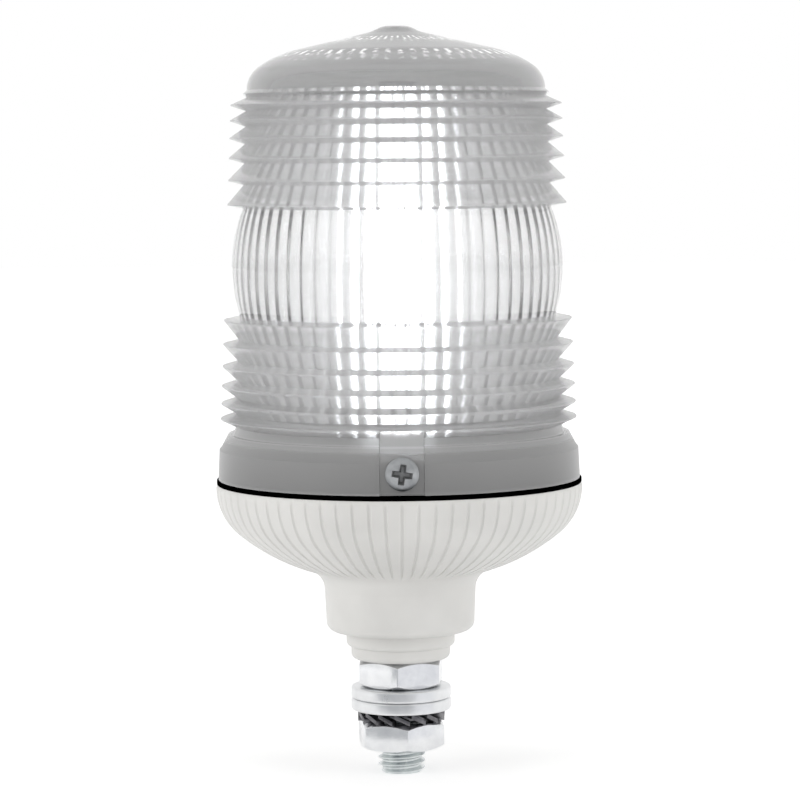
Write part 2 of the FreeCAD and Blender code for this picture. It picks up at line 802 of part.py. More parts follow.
def ring_steps():
    """For each ring from the belt outwards: distance of its near root, its tip and its far root."""
    d = dims
    count = int(d.ring_count.value)
    last = max(count - 1, 1)
    change = d.ring_pitch_far - d.ring_pitch_near
    shift = d.ring_tip_far - d.ring_tip_near

    def reach(index):
        return d.ring_pitch_near * index + change * (index * (index - 1) / 2 / last)

    steps = []
    for index in range(count):
        near = reach(index)
        far = reach(index + 1)
        tip = near + (far - near) * (d.ring_tip_near + shift * (index / last))
        steps.append((near, tip, far))
    return steps


def dome_arcs(inset):
    """Ends of the small and of the large arc of the dome, set inwards by the inset."""
    d = dims
    corner_x = root_radius(d.dome_foot) - d.dome_corner
    sweep_x = corner_x - (d.dome_sweep - d.dome_corner) * cosine(d.dome_turn)
    sweep_z = d.dome_foot - (d.dome_sweep - d.dome_corner) * sine(d.dome_turn)
    return (
        corner_x + (d.dome_corner - inset) * cosine(d.dome_turn),
        d.dome_foot + (d.dome_corner - inset) * sine(d.dome_turn),
        sweep_x + (d.dome_sweep - inset) * sine(d.dome_slope),
        sweep_z + (d.dome_sweep - inset) * cosine(d.dome_slope),
    )


def make_lens():
    """A hollow drum: skirt, shoulder, prism rings, belt, prism rings, lip and dome."""
    d = dims
    steps = ring_steps()
    points = [
        (d.skirt_inside, d.lens_foot),
        (d.skirt_radius, d.lens_foot),
        (d.skirt_radius - d.skirt_draft, d.skirt_top),
        (d.skirt_radius - d.skirt_draft - d.shoulder_step, d.skirt_top),
        (d.ring_root, d.ring_foot),
    ]
    for near, tip, _ in reversed(steps):
        points.append((root_radius(d.belt_foot - tip) + d.ring_depth, d.belt_foot - tip))
        points.append((root_radius(d.belt_foot - near), d.belt_foot - near))
    chord = d.belt_height / cosine(d.lens_draft)
    belt_curve = (chord * chord / 4 + d.belt_bulge * d.belt_bulge) / (2 * d.belt_bulge)
    points.append((root_radius(d.belt_top), d.belt_top, belt_curve))
    for _, tip, far in steps:
        points.append((root_radius(d.belt_top + tip) + d.ring_depth, d.belt_top + tip))
        points.append((root_radius(d.belt_top + far), d.belt_top + far))
    lip_z = d.ring_top + d.lip_height / 2
    dome = root_radius(d.dome_foot)
    turn_x, turn_z, slope_x, slope_z = dome_arcs(0)
    nub_z = slope_z + (slope_x - d.nub_radius) * d.dome_rise
    inner_turn_x, inner_turn_z, inner_x, inner_z = dome_arcs(d.lens_wall)
    points += [
        (root_radius(lip_z) + d.lip_depth, lip_z),
        (dome, d.dome_foot),
        (turn_x, turn_z, d.dome_corner),
        (slope_x, slope_z, d.dome_sweep),
        (d.nub_radius, nub_z),
        (d.nub_top_radius, nub_z + d.nub_height),
        (0, nub_z + d.nub_height),
        (0, inner_z + inner_x * d.dome_rise),
        (inner_x, inner_z),
        (inner_turn_x, inner_turn_z, d.lens_wall - d.dome_sweep),
        (dome - d.lens_wall, d.dome_foot, d.lens_wall - d.dome_corner),
        (d.ring_root - d.lens_wall, d.ring_foot),
        (d.skirt_inside, d.chassis_top + d.fit_gap),
    ]
    body = turned("lens", points)

    # Screw pads: flats on the skirt, carried up over the shoulder to the lowest ring, and their holes
    sketch = new_sketch(body, "pad_outline", "XZ_Plane", lift=d.pad_plane)
    half = d.pad_width / 2
    draw_box(sketch, -half, d.lens_foot - d.pad_depth, half, d.skirt_top + d.pad_depth)
    screw_flat = pocket(body, "screw_flat", sketch, d.pad_width, reverse=True)
    in_wall = d.ring_root - d.lens_wall / 2
    in_skirt = (d.skirt_inside + d.pad_plane) / 2
    lowest_tip = d.belt_foot - steps[-1][1]
    sketch = new_sketch(body, "pad_profile", "YZ_Plane")
    draw(
        sketch,
        [
            (-d.pad_plane, d.skirt_top),
            (-in_skirt, d.skirt_top),
            (-in_wall, d.ring_foot),
            (-in_wall, lowest_tip),
            (-d.pad_plane, lowest_tip),
        ],
    )
    screw_pad = pad(body, "screw_pad", sketch, d.pad_width, both=True)
    hole = d.lens_screw_radius + d.screw_play
    sketch = new_sketch(body, "screw_hole_outline", "YZ_Plane", rise=d.screw_axis)
    draw_box(sketch, -d.bowl_radius, 0, -d.chassis_radius, hole)
    screw_hole = turn_away(body, "screw_hole", sketch, axis="H_Axis")
    ring_of(body, "screw_pads", [screw_flat, screw_pad, screw_hole], d.screw_count)

    # Flutes: shallow cylinders that lean with the drum and cut into its inner wall
    curve = (d.flute_width * d.flute_width / 4 + d.flute_depth * d.flute_depth) / (2 * d.flute_depth)
    inner = d.ring_root - d.lens_wall
    flute = body.newObject("PartDesign::SubtractiveCylinder", "flute")
    flute.AttachmentSupport = (origin_feature(body, "XY_Plane"), [""])
    flute.MapMode = "FlatFace"
    flute.setExpression("Radius", outside(curve))
    flute.setExpression("Height", outside((d.ring_top - d.ring_foot) / cosine(d.lens_draft)))
    reach = (d.flute_depth - curve) / cosine(d.lens_draft)
    flute.setExpression(".AttachmentOffset.Base.x", outside(inner + reach))
    flute.setExpression(".AttachmentOffset.Base.z", outside(d.ring_foot))
    flute.AttachmentOffset = FreeCAD.Placement(
        FreeCAD.Vector((inner + reach).value, 0, d.ring_foot.value),
        FreeCAD.Rotation(FreeCAD.Vector(0, -1, 0), d.lens_draft.value),
    )
    flute.setExpression(".AttachmentOffset.Rotation.Angle", outside(d.lens_draft))
    ring_of(body, "flutes", [flute], d.flute_count)
    return body


def make_radial_screws(label):
    """Screws that point at the axis, their heads on the lens's pads."""
    d = dims
    body = new_body(label)
    sketch = new_sketch(body, "lens_screw_profile", "YZ_Plane", rise=d.screw_axis)
    under = -d.pad_plane
    top = under - d.lens_screw_head_height
    edge = d.lens_screw_head_height / 2
    draw(
        sketch,
        [
            (top, 0),
            (under + d.lens_screw_length, 0),
            (under + d.lens_screw_length, d.lens_screw_radius),
            (under, d.lens_screw_radius),
            (under, d.lens_screw_head),
            (under - edge, d.lens_screw_head),
            (top, d.lens_screw_head - edge, edge),
        ],
    )
    screw = revolve(body, "lens_screw", sketch, axis="H_Axis")
    ring_of(body, "lens_screw_ring", [screw], d.screw_count)
    return body


# Chassis, board and reflector


def make_chassis():
    d = dims
    body = turned(
        "chassis",
        [
            (d.opening_radius, d.post_top),
            (d.chassis_radius, d.post_top),
            (d.chassis_radius, d.chassis_top),
            (d.chassis_inside, d.chassis_top),
            (d.chassis_inside, d.board_foot),
            (d.opening_radius, d.board_foot),
        ],
    )
    shank = d.lens_screw_radius + d.screw_play
    sketch = new_sketch(body, "boss_outline", "YZ_Plane", rise=d.screw_axis)
    outer = d.chassis_inside + d.chassis_wall / 2
    inner = d.chassis_inside - d.boss_length
    draw_box(sketch, -outer, 0, -inner, d.boss_radius)
    boss = revolve(body, "boss", sketch, axis="H_Axis")
    ring_of(body, "bosses", [boss], d.screw_count)
    sketch = new_sketch(body, "boss_hole_outline", "YZ_Plane", rise=d.screw_axis)
    draw_box(sketch, -d.bowl_radius, 0, -inner, shank)
    hole = turn_away(body, "boss_hole", sketch, axis="H_Axis")
    ring_of(body, "boss_holes", [hole], d.screw_count)
    sketch = new_sketch(body, "floor_hole_outline", "XY_Plane", lift=d.board_foot)
    draw_circle(sketch, 0, d.post_circle, d.chassis_screw_radius + d.screw_play)
    floor_hole = pocket(body, "floor_hole", sketch, d.chassis_floor)
    ring_of(body, "floor_holes", [floor_hole], d.screw_count)
    return body


def make_circuit_board():
    d = dims
    rim = d.chassis_inside - d.fit_gap
    body = turned(
        "circuit_board",
        [(0, d.board_foot), (rim, d.board_foot), (rim, d.board_top), (0, d.board_top)],
    )
    sketch = new_sketch(body, "board_hole_outline", "XY_Plane", lift=d.board_top)
    draw_circle(sketch, 0, d.post_circle, d.chassis_screw_radius + d.screw_play)
    hole = pocket(body, "board_hole", sketch, d.board_thickness)
    ring_of(body, "board_holes", [hole], d.screw_count)
    return body


def make_chassis_screws():
    """Upright screws through board and chassis into the posts."""
    d = dims
    body = new_body("chassis_screws")
    sketch = new_sketch(body, "shank_outline", "XY_Plane", lift=d.board_top)
    draw_circle(sketch, 0, d.post_circle, d.chassis_screw_radius)
    reach = d.board_thickness + d.chassis_floor + d.chassis_screw_bite
    shank = pad(body, "shank", sketch, reach, reverse=True)
    sketch = new_sketch(body, "screw_head_outline", "XY_Plane", lift=d.board_top)
    draw_circle(sketch, 0, d.post_circle, d.chassis_screw_head)
    head = pad(body, "screw_head", sketch, d.chassis_screw_head_height)
    ring_of(body, "chassis_screw_ring", [shank, head], d.screw_count)
    return body


def make_reflector_plate():
    d = dims
    hole = d.socket_radius + d.fit_gap
    rim = d.chassis_inside + d.reflector_lap
    top = d.chassis_top + d.reflector_thickness
    return turned(
        "reflector_plate",
        [(hole, d.chassis_top), (rim, d.chassis_top), (rim, top), (hole, top)],
    )


# Flash lamp


def make_tube_socket():
    d = dims
    groove_out = d.envelope_radius + d.fit_gap
    groove_in = d.envelope_radius - d.envelope_wall - d.fit_gap
    body = turned(
        "tube_socket",
        [
            (0, d.board_top),
            (d.socket_flange_radius, d.board_top),
            (d.socket_flange_radius, d.board_top + d.socket_flange_height),
            (d.socket_radius, d.board_top + d.socket_flange_height),
            (d.socket_radius, d.socket_top),
            (groove_out, d.socket_top),
            (groove_out, d.envelope_foot),
            (groove_in, d.envelope_foot),
            (groove_in, d.socket_top),
            (0, d.socket_top),
        ],
    )
    sketch = new_sketch(body, "leg_holes_outline", "XY_Plane", lift=d.socket_top)
    for side in (-1, 1):
        draw_circle(sketch, d.tube_spread * side, 0, d.tube_radius + d.fit_gap)
    pocket(body, "leg_holes", sketch, d.tube_seat)
    sketch = new_sketch(body, "wire_hole_outline", "XY_Plane", lift=d.socket_top)
    wire = d.tube_spread + d.tube_radius + d.fit_gap + d.trigger_wire_radius
    draw_circle(sketch, wire, 0, d.trigger_wire_radius + d.fit_gap)
    pocket(body, "wire_hole", sketch, d.tube_seat)
    return body


def bent_path(body, name, spread, foot, far_foot):
    """A path up one side, round a half turn and down the other side."""
    d = dims
    sketch = new_sketch(body, name, "XZ_Plane")
    right = FreeCAD.Vector(spread.value, d.bend_centre.value, 0)
    left = FreeCAD.Vector(-spread.value, d.bend_centre.value, 0)
    low = FreeCAD.Vector(spread.value, foot.value, 0)
    far = FreeCAD.Vector(-spread.value, far_foot.value, 0)
    centre = FreeCAD.Vector(0, d.bend_centre.value, 0)
    bend = Part.Circle(centre, FreeCAD.Vector(0, 0, 1), spread.value)
    sketch.addGeometry(Part.LineSegment(low, right))
    sketch.addGeometry(Part.ArcOfCircle(bend, 0, math.pi))
    sketch.addGeometry(Part.LineSegment(left, far))
    rules = [
        Sketcher.Constraint("Coincident", 0, 2, 1, 1),
        Sketcher.Constraint("Coincident", 1, 2, 2, 1),
        Sketcher.Constraint("DistanceY", -1, 1, 1, 3, d.bend_centre.value),
    ]
    formulas = [(2, d.bend_centre)]
    pin_point(rules, formulas, 0, 1, spread, foot)
    pin_point(rules, formulas, 0, 2, spread, d.bend_centre)
    pin_point(rules, formulas, 2, 1, -spread, d.bend_centre)
    pin_point(rules, formulas, 2, 2, -spread, far_foot)
    keep(sketch, rules, formulas)
    return sketch


def bent_tube(label, spread, foot, far_foot, radius, bore=None):
    """A round wire or a tube along such a path."""
    body = new_body(label)
    path = bent_path(body, label + "_path", spread, foot, far_foot)
    section = new_sketch(body, label + "_section", "XY_Plane", lift=foot)
    draw_circle(section, spread, 0, radius)
    if bore is not None:
        draw_circle(section, spread, 0, bore)
    doc.recompute()
    pipe = body.newObject("PartDesign::AdditivePipe", label + "_pipe")
    pipe.Profile = section
    pipe.Spine = (path, [])
    return body


def make_flash_tube():
    d = dims
    bore = d.tube_radius - d.tube_wall
    return bent_tube("flash_tube", d.tube_spread, d.tube_foot, d.tube_foot, d.tube_radius, bore)


def make_trigger_wire():
    d = dims
    spread = d.tube_spread + d.tube_radius + d.fit_gap + d.trigger_wire_radius
    end = d.bend_centre - d.trigger_wire_drop
    return bent_tube("trigger_wire", spread, d.tube_foot, end, d.trigger_wire_radius)


def make_tube_electrodes():
    """A metal plug in the foot of each leg."""
    d = dims
    body = new_body("tube_electrodes")
    sketch = new_sketch(body, "electrode_outline", "XY_Plane", lift=d.tube_foot)
    for side in (-1, 1):
        draw_circle(sketch, d.tube_spread * side, 0, d.tube_radius - d.tube_wall)
    pad(body, "electrodes", sketch, d.electrode_length)
    return body


def make_tube_envelope():
    d = dims
    inside = d.envelope_radius - d.envelope_wall
    centre = d.envelope_top - d.envelope_radius
    return turned(
        "tube_envelope",
        [
            (inside, d.envelope_foot),
            (d.envelope_radius, d.envelope_foot),
            (d.envelope_radius, centre),
            (0, d.envelope_top, d.envelope_radius),
            (0, d.envelope_top - d.envelope_wall),
            (inside, centre, -inside),
        ],
    )


# Parts that hang under the board


def place_under_board(body, x, y):
    """Moves a piece that is modelled on the axis to its place under the board."""
    body.setExpression(".Placement.Base.x", outside(sized(x)))
    body.setExpression(".Placement.Base.y", outside(sized(y)))
    body.setExpression(".Placement.Base.z", outside(dims.board_foot))


def corner_reach(width, depth):
    return square_root(width * width + depth * depth) / 2


def make_storage_capacitor():
    d = dims
    crimp = d.capacitor_crimp
    neck = d.capacitor_radius - crimp
    body = turned(
        "storage_capacitor",
        [
            (0, -d.capacitor_height),
            (neck, -d.capacitor_height),
            (d.capacitor_radius, crimp - d.capacitor_height, crimp),
            (d.capacitor_radius, -d.capacitor_crimp_drop - crimp),
            (neck, -d.capacitor_crimp_drop),
            (d.capacitor_radius, crimp - d.capacitor_crimp_drop),
            (d.capacitor_radius, 0),
            (0, 0),
        ],
    )
    place_under_board(body, d.capacitor_radius + d.part_margin - d.opening_radius, 0)
    return body


def transformer_x():
    d = dims
    return d.opening_radius - d.part_margin - corner_reach(d.core_width, winding_depth())


def window_width():
    d = dims
    return (d.core_width - d.core_middle) / 2 - d.core_limb


def winding_depth():
    d = dims
    return d.core_depth + 2 * (window_width() - d.winding_gap)


def make_transformer_core():
    """Two E-shaped halves that meet: a frame with two windows."""
    d = dims
    body = new_body("transformer_core")
    sketch = new_sketch(body, "core_outline", "XZ_Plane", lift=-d.core_depth / 2)
    half = d.core_width / 2
    draw_box(sketch, -half, -d.core_height, half, 0)
    inner = d.core_middle / 2
    outer = half - d.core_limb
    for left, right in ((-outer, -inner), (inner, outer)):
        draw_box(sketch, left, d.core_limb - d.core_height, right, -d.core_limb)
    pad(body, "core", sketch, d.core_depth)
    place_under_board(body, transformer_x(), 0)
    return body


def make_transformer_winding():
    """The coil round the core's middle limb."""
    d = dims
    body = new_body("transformer_winding")
    sketch = new_sketch(body, "winding_outline", "XY_Plane", lift=d.core_limb - d.core_height)
    half_x = d.core_middle / 2 + window_width() - d.winding_gap
    half_y = winding_depth() / 2
    draw_box(sketch, -half_x, -half_y, half_x, half_y)
    draw_box(sketch, -d.core_middle / 2, -d.core_depth / 2, d.core_middle / 2, d.core_depth / 2)
    pad(body, "winding", sketch, d.core_height - 2 * d.core_limb)
    place_under_board(body, transformer_x(), 0)
    return body


def make_trigger_coil():
    d = dims
    neck = d.coil_radius - d.coil_neck
    body = turned(
        "trigger_coil",
        [
            (0, -d.coil_height),
            (d.coil_radius, -d.coil_height),
            (d.coil_radius, d.coil_flange - d.coil_height),
            (neck, d.coil_flange - d.coil_height),
            (neck, -d.coil_flange),
            (d.coil_radius, -d.coil_flange),
            (d.coil_radius, 0),
            (0, 0),
        ],
    )
    place_under_board(body, 0, d.opening_radius - d.part_margin - d.coil_radius)
    return body


def terminal_y():
    d = dims
    return corner_reach(d.block_width, d.block_depth) + d.part_margin - d.opening_radius


def make_terminal_block():
    """A block with two wire holes and a screw well over each."""
    d = dims
    body = new_body("terminal_block")
    sketch = new_sketch(body, "block_outline", "XY_Plane")
    half_x = d.block_width / 2
    half_y = d.block_depth / 2
    draw_box(sketch, -half_x, -half_y, half_x, half_y)
    pad(body, "block", sketch, d.block_height, reverse=True)
    sketch = new_sketch(body, "wire_holes_outline", "XZ_Plane", lift=-half_y)
    for side in (-1, 1):
        draw_circle(sketch, d.block_pitch / 2 * side, -d.block_height / 2, d.block_wire_hole)
    pocket(body, "wire_holes", sketch, d.block_depth, reverse=True)
    sketch = new_sketch(body, "screw_wells_outline", "XY_Plane", lift=-d.block_height)
    for side in (-1, 1):
        draw_circle(sketch, d.block_pitch / 2 * side, 0, d.block_screw_radius + d.screw_play)
    pocket(body, "screw_wells", sketch, d.block_screw_length, reverse=True)
    place_under_board(body, 0, terminal_y())
    return body


def make_terminal_screws():
    d = dims
    body = new_body("terminal_screws")
    sketch = new_sketch(body, "terminal_screw_outline", "XY_Plane", lift=-d.block_height)
    for side in (-1, 1):
        draw_circle(sketch, d.block_pitch / 2 * side, 0, d.block_screw_radius)
    pad(body, "terminal_screw", sketch, d.block_screw_length)
    place_under_board(body, 0, terminal_y())
    return body


pieces = [
    make_mounting_stud(),
    make_nut("jam_nut", dims.washer_thickness, dims.jam_nut_turn),
    make_washer("upper_washer", sized(0)),
    make_washer("lower_washer", -dims.washer_thickness),
    make_tooth_lock_washer(),
    make_nut("clamp_nut", dims.clamp_foot, dims.clamp_nut_turn),
    make_stud_collar(),
    make_collar_ring_nut(),
    make_base_housing(),
    make_lens_gasket(),
    make_lens(),
    make_radial_screws("lens_screws"),
    make_chassis(),
    make_circuit_board(),
    make_chassis_screws(),
    make_reflector_plate(),
    make_tube_socket(),
    make_flash_tube(),
    make_trigger_wire(),
    make_tube_electrodes(),
    make_tube_envelope(),
    make_storage_capacitor(),
    make_transformer_core(),
    make_transformer_winding(),
    make_trigger_coil(),
    make_terminal_block(),
    make_terminal_screws(),
]

doc.recompute()

CUTS = ("PartDesign::Pocket", "PartDesign::Groove", "PartDesign::SubtractiveCylinder")
for item in doc.Objects:
    if "Invalid" in item.State or "Error" in item.State:
        raise RuntimeError(f"{item.Label} failed: {item.State}")
    if item.TypeId in CUTS and item.Shape.Volume >= item.BaseFeature.Shape.Volume:
        raise RuntimeError(f"{item.Label} cuts nothing")
for piece in pieces:
    if piece.Shape.isNull() or not piece.Shape.isValid() or not piece.Shape.Solids:
        raise RuntimeError(f"{piece.Label} has no valid shape")

os.makedirs("parts", exist_ok=True)
for piece in pieces:
    piece.Shape.exportStep(f"parts/{piece.Label}.step")
    solids = len(piece.Shape.Solids)
    print(f"{piece.Label}: {solids} solid(s), {piece.Shape.Volume:.1f} mm3")
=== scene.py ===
# %% [markdown]
# # A xenon strobe beacon, dressed around its frame
#
# The object is a warning light: a clear drum lens over a white ribbed bowl, on a hollow M10 stud.
# The frame brings every solid at its real size and place. This script rebuilds the pieces that the eye
# rests on, at a finer grain, and gives every piece the finish of the material it is made of.

# %% Load the frame
import math

import bmesh
import bpy
from mathutils import Matrix, Vector


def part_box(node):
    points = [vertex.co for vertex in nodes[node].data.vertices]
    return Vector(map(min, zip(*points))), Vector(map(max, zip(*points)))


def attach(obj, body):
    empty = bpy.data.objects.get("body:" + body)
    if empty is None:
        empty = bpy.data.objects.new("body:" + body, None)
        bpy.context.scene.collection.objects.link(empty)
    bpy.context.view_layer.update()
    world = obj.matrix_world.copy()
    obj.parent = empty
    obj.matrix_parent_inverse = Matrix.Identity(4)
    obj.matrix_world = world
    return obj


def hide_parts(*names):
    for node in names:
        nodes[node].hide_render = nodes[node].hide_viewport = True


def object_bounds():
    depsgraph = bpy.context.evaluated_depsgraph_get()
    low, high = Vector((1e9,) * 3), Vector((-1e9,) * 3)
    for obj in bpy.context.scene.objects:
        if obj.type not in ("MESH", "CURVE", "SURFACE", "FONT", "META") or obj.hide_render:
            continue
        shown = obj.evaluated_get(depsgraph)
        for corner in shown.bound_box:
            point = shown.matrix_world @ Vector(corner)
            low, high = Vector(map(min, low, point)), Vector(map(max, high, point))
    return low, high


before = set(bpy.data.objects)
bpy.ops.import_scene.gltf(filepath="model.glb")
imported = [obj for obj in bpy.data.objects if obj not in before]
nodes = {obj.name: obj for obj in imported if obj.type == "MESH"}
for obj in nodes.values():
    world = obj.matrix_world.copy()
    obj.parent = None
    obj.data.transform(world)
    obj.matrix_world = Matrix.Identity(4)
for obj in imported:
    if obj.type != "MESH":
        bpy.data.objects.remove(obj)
scene = bpy.context.scene
cad_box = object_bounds()
MM = 0.001


def low(node):
    """Height of a node's underside, in millimetres."""
    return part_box(node)[0].z / MM


def high(node):
    """Height of a node's top, in millimetres."""
    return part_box(node)[1].z / MM


def reach(node):
    """Largest distance of a node to the +X side, in millimetres."""
    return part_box(node)[1].x / MM


print("nodes", len(nodes), "tall", round((cad_box[1].z - cad_box[0].z) / MM, 1), "mm")

# %% [markdown]
# ## Drawing with operators
#
# Nearly every piece of the beacon is turned or moulded round one axis. So most pieces start as a pen that
# draws half of a section in the X-Z plane: a straight run extrudes the pen's vertex, and a round run spins
# it about the centre of the arc. One full spin about Z then makes the piece, and doubles are merged so
# that poles and seams close. Sizes are in millimetres and degrees, merging distances in metres.

# %% A pen, a lathe and a finished piece
MERGE = 1e-7
MERGE_WIDE = 1e-6
ON_SURFACE = 0.01


def pen_down(r, z):
    """A new mesh that holds one vertex, at a radius and a height in millimetres."""
    bm = bmesh.new()
    return bm, bm.verts.new((r * MM, 0, z * MM))


def line(bm, pen, *points):
    """Straight runs from the pen's place through points (r, z)."""
    for r, z in points:
        pen = bmesh.ops.extrude_vert_indiv(bm, verts=[pen])["verts"][0]
        pen.co = (r * MM, 0, z * MM)
    return pen


def arc(bm, pen, centre, degrees, steps=8):
    """A round run about a centre (r, z). Positive degrees turn from +X towards +Z."""
    swept = bmesh.ops.spin(
        bm, geom=[pen], cent=(centre[0] * MM, 0, centre[1] * MM), axis=(0, -1, 0),
        angle=math.radians(degrees), steps=steps,
    )
    return [item for item in swept["geom_last"] if isinstance(item, bmesh.types.BMVert)][0]


def merge_doubles(bm, dist=MERGE):
    """Makes one vertex of those that share a place."""
    bmesh.ops.remove_doubles(bm, verts=bm.verts, dist=dist)


def close_up(bm):
    """Merges doubles and turns every face outwards."""
    merge_doubles(bm)
    bmesh.ops.recalc_face_normals(bm, faces=bm.faces)


def lathe(bm, steps):
    """Closes the drawn section and turns it all the way round the Z axis."""
    merge_doubles(bm)
    bmesh.ops.spin(
        bm, geom=bm.verts[:] + bm.edges[:], cent=(0, 0, 0), axis=(0, 0, 1),
        angle=math.tau, steps=steps, use_merge=True,
    )
    close_up(bm)


def placed(name, data):
    """Some data as an object in the scene."""
    made = bpy.data.objects.new(name, data)
    scene.collection.objects.link(made)
    return made


def into_scene(name, bm):
    """The drawn mesh as an object in the scene."""
    mesh = bpy.data.meshes.new(name)
    bm.to_mesh(mesh)
    bm.free()
    return placed(name, mesh)


def finished(name, bm, body, finish, stands_for, sharp=35):
    """The mesh as a piece of the object, riding on its body in place of some nodes."""
    piece = into_scene(name, bm)
    mesh = piece.data
    mesh.materials.append(finish)
    mesh.shade_smooth()
    mesh.set_sharp_from_angle(angle=math.radians(sharp))
    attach(piece, body)
    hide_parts(*stands_for)
    print(name, len(mesh.polygons), "faces")
    return piece


# %% [markdown]
# ## Finishes from nodes
#
# A colour is written as an sRGB hex value, as a picture editor shows it, and turned to linear light once.
# One small function adds a node, sets its properties and sockets, and links it.

# %% Colour, node and material helpers


def hex_colour(code):
    """An sRGB hex value as linear red, green, blue and alpha."""
    channels = [int(code[k:k + 2], 16) / 255 for k in (1, 3, 5)]
    linear = [c / 12.92 if c <= 0.04045 else ((c + 0.055) / 1.055) ** 2.4 for c in channels]
    return (*linear, 1.0)


def add_node(tree, kind, sockets=None, links=None, **settings):
    """A node with its settings, its socket values and its incoming links."""
    node = tree.nodes.new(kind)
    for name, value in settings.items():
        setattr(node, name, value)
    for name, value in (sockets or {}).items():
        node.inputs[name].default_value = value
    for name, source in (links or {}).items():
        tree.links.new(source, node.inputs[name])
    return node


def new_finish(name, **sockets):
    """A material with one Principled shader, and its node tree."""
    finish = bpy.data.materials.new(name)
    finish.use_nodes = True
    shader = finish.node_tree.nodes["Principled BSDF"]
    for socket, value in sockets.items():
        shader.inputs[socket.replace("_", " ")].default_value = value
    return finish, finish.node_tree, shader


WHITE, BLACK = hex_colour("#FFFFFF"), hex_colour("#000000")

# %% [markdown]
# ## The camera
#
# The photograph looks slightly down on the beacon from straight ahead, through a long lens, so upright
# lines stay nearly parallel. The camera stands in front, on the -Y side, and aims at the middle of the
# drum. Its place, aim and roll were matched to the photograph.

# %% Camera
CAMERA_DISTANCE = 674.0
CAMERA_SIDE = -10.3
AIM_SIDE = 0.3
CAMERA_HEIGHT = 115.8
AIM_HEIGHT = 63.2
FOCAL_LENGTH = 144.0
SENSOR_WIDTH = 36.0
CAMERA_ROLL = -0.5
SIGHT_END = 20000.0

camera_data = bpy.data.cameras.new("camera")
camera_data.sensor_width = SENSOR_WIDTH
camera_data.lens = FOCAL_LENGTH
camera_data.clip_end = SIGHT_END * MM
camera = placed("camera", camera_data)
camera.location = Vector((CAMERA_SIDE, -CAMERA_DISTANCE, CAMERA_HEIGHT)) * MM
gaze = Vector((AIM_SIDE, 0, AIM_HEIGHT)) * MM - camera.location
facing = gaze.to_track_quat("-Z", "Y")
roll = Matrix.Rotation(math.radians(CAMERA_ROLL), 3, "Z")
camera.rotation_euler = (facing.to_matrix() @ roll).to_euler()
scene.camera = camera
scene.view_settings.view_transform = "Standard"
print("camera", round(gaze.length / MM), "mm from its aim")

# %% [markdown]
# ## Floor, background and light
#
# A product photograph on white: a pale floor that keeps a soft shadow, an even white background, and broad
# lamps. The floor glows a little by itself, more with distance, so that it melts into the background. Light
# that bounces off it gets only a share of that glow, or the underside would lose its shade.
# The studio's sizes are in metres.

# %% Floor
FLOOR_HALF = 3.0
FLOOR_COLOUR = "#E0E0E0"
FLOOR_GLOW = (0.50, 0.74)
FLOOR_BOUNCE = 0.5
FLOOR_NEAR = 0.12
FLOOR_FAR = 0.7


def seen_rays(tree):
    """One for rays that look at the background: straight, mirrored or bent."""
    path = add_node(tree, "ShaderNodeLightPath").outputs
    seen = path["Is Camera Ray"]
    for ray in ("Is Glossy Ray", "Is Transmission Ray"):
        either = add_node(tree, "ShaderNodeMath", operation="MAXIMUM", links={0: seen, 1: path[ray]})
        seen = either.outputs[0]
    return seen


def stage_plate(name, corners, finish):
    """A flat plate of the studio, not part of the object."""
    bm = bmesh.new()
    bm.faces.new([bm.verts.new(corner) for corner in corners])
    plate = into_scene(name, bm)
    plate.data.materials.append(finish)
    return plate


floor_finish = bpy.data.materials.new("pale studio floor")
floor_finish.use_nodes = True
tree = floor_finish.node_tree
tree.nodes.remove(tree.nodes["Principled BSDF"])
matt = add_node(tree, "ShaderNodeBsdfDiffuse", sockets={"Color": hex_colour(FLOOR_COLOUR)})
spot = add_node(tree, "ShaderNodeTexCoord")
away = add_node(tree, "ShaderNodeVectorMath", operation="LENGTH", links={0: spot.outputs["Object"]})
brightening = add_node(
    tree, "ShaderNodeMapRange", links={"Value": away.outputs["Value"]},
    sockets={
        "From Min": FLOOR_NEAR, "From Max": FLOOR_FAR,
        "To Min": FLOOR_GLOW[0], "To Max": FLOOR_GLOW[1],
    },
)
share = add_node(
    tree, "ShaderNodeMapRange", links={"Value": seen_rays(tree)}, sockets={"To Min": FLOOR_BOUNCE},
)
glow_share = add_node(
    tree, "ShaderNodeMath", operation="MULTIPLY",
    links={0: share.outputs["Result"], 1: brightening.outputs["Result"]},
)
glow = add_node(tree, "ShaderNodeEmission", links={"Strength": glow_share.outputs[0]})
both = add_node(tree, "ShaderNodeAddShader", links={0: matt.outputs[0], 1: glow.outputs[0]})
tree.links.new(both.outputs[0], tree.nodes["Material Output"].inputs["Surface"])
floor_z = cad_box[0].z
stage_plate(
    "floor",
    [(x * FLOOR_HALF, y * FLOOR_HALF, floor_z) for x, y in ((-1, -1), (1, -1), (1, 1), (-1, 1))],
    floor_finish,
)
print("floor at", round(floor_z / MM, 1), "mm")

# %% [markdown]
# The background has to look pure white, but as a light that strong it would wash out every shadow. So rays
# that look at it see full white, and rays that gather light get less.

# %% Background
WORLD_LIGHT = 0.5
world = bpy.data.worlds.new("white studio")
world.use_nodes = True
scene.world = world
tree = world.node_tree
lit = add_node(tree, "ShaderNodeBackground", sockets={"Color": WHITE, "Strength": WORLD_LIGHT})
shown = add_node(tree, "ShaderNodeBackground", sockets={"Color": WHITE, "Strength": 1.0})
sky = add_node(
    tree, "ShaderNodeMixShader",
    links={"Fac": seen_rays(tree), 1: lit.outputs[0], 2: shown.outputs[0]},
)
tree.links.new(sky.outputs[0], tree.nodes["World Output"].inputs["Surface"])
print("background", world.name)

# %% [markdown]
# Zinc shows only what it mirrors, and a white studio would leave it blank. So a dark card stands far behind
# the camera, and two small pale grey ones stand on the floor close to the nuts. Only mirrors see them.

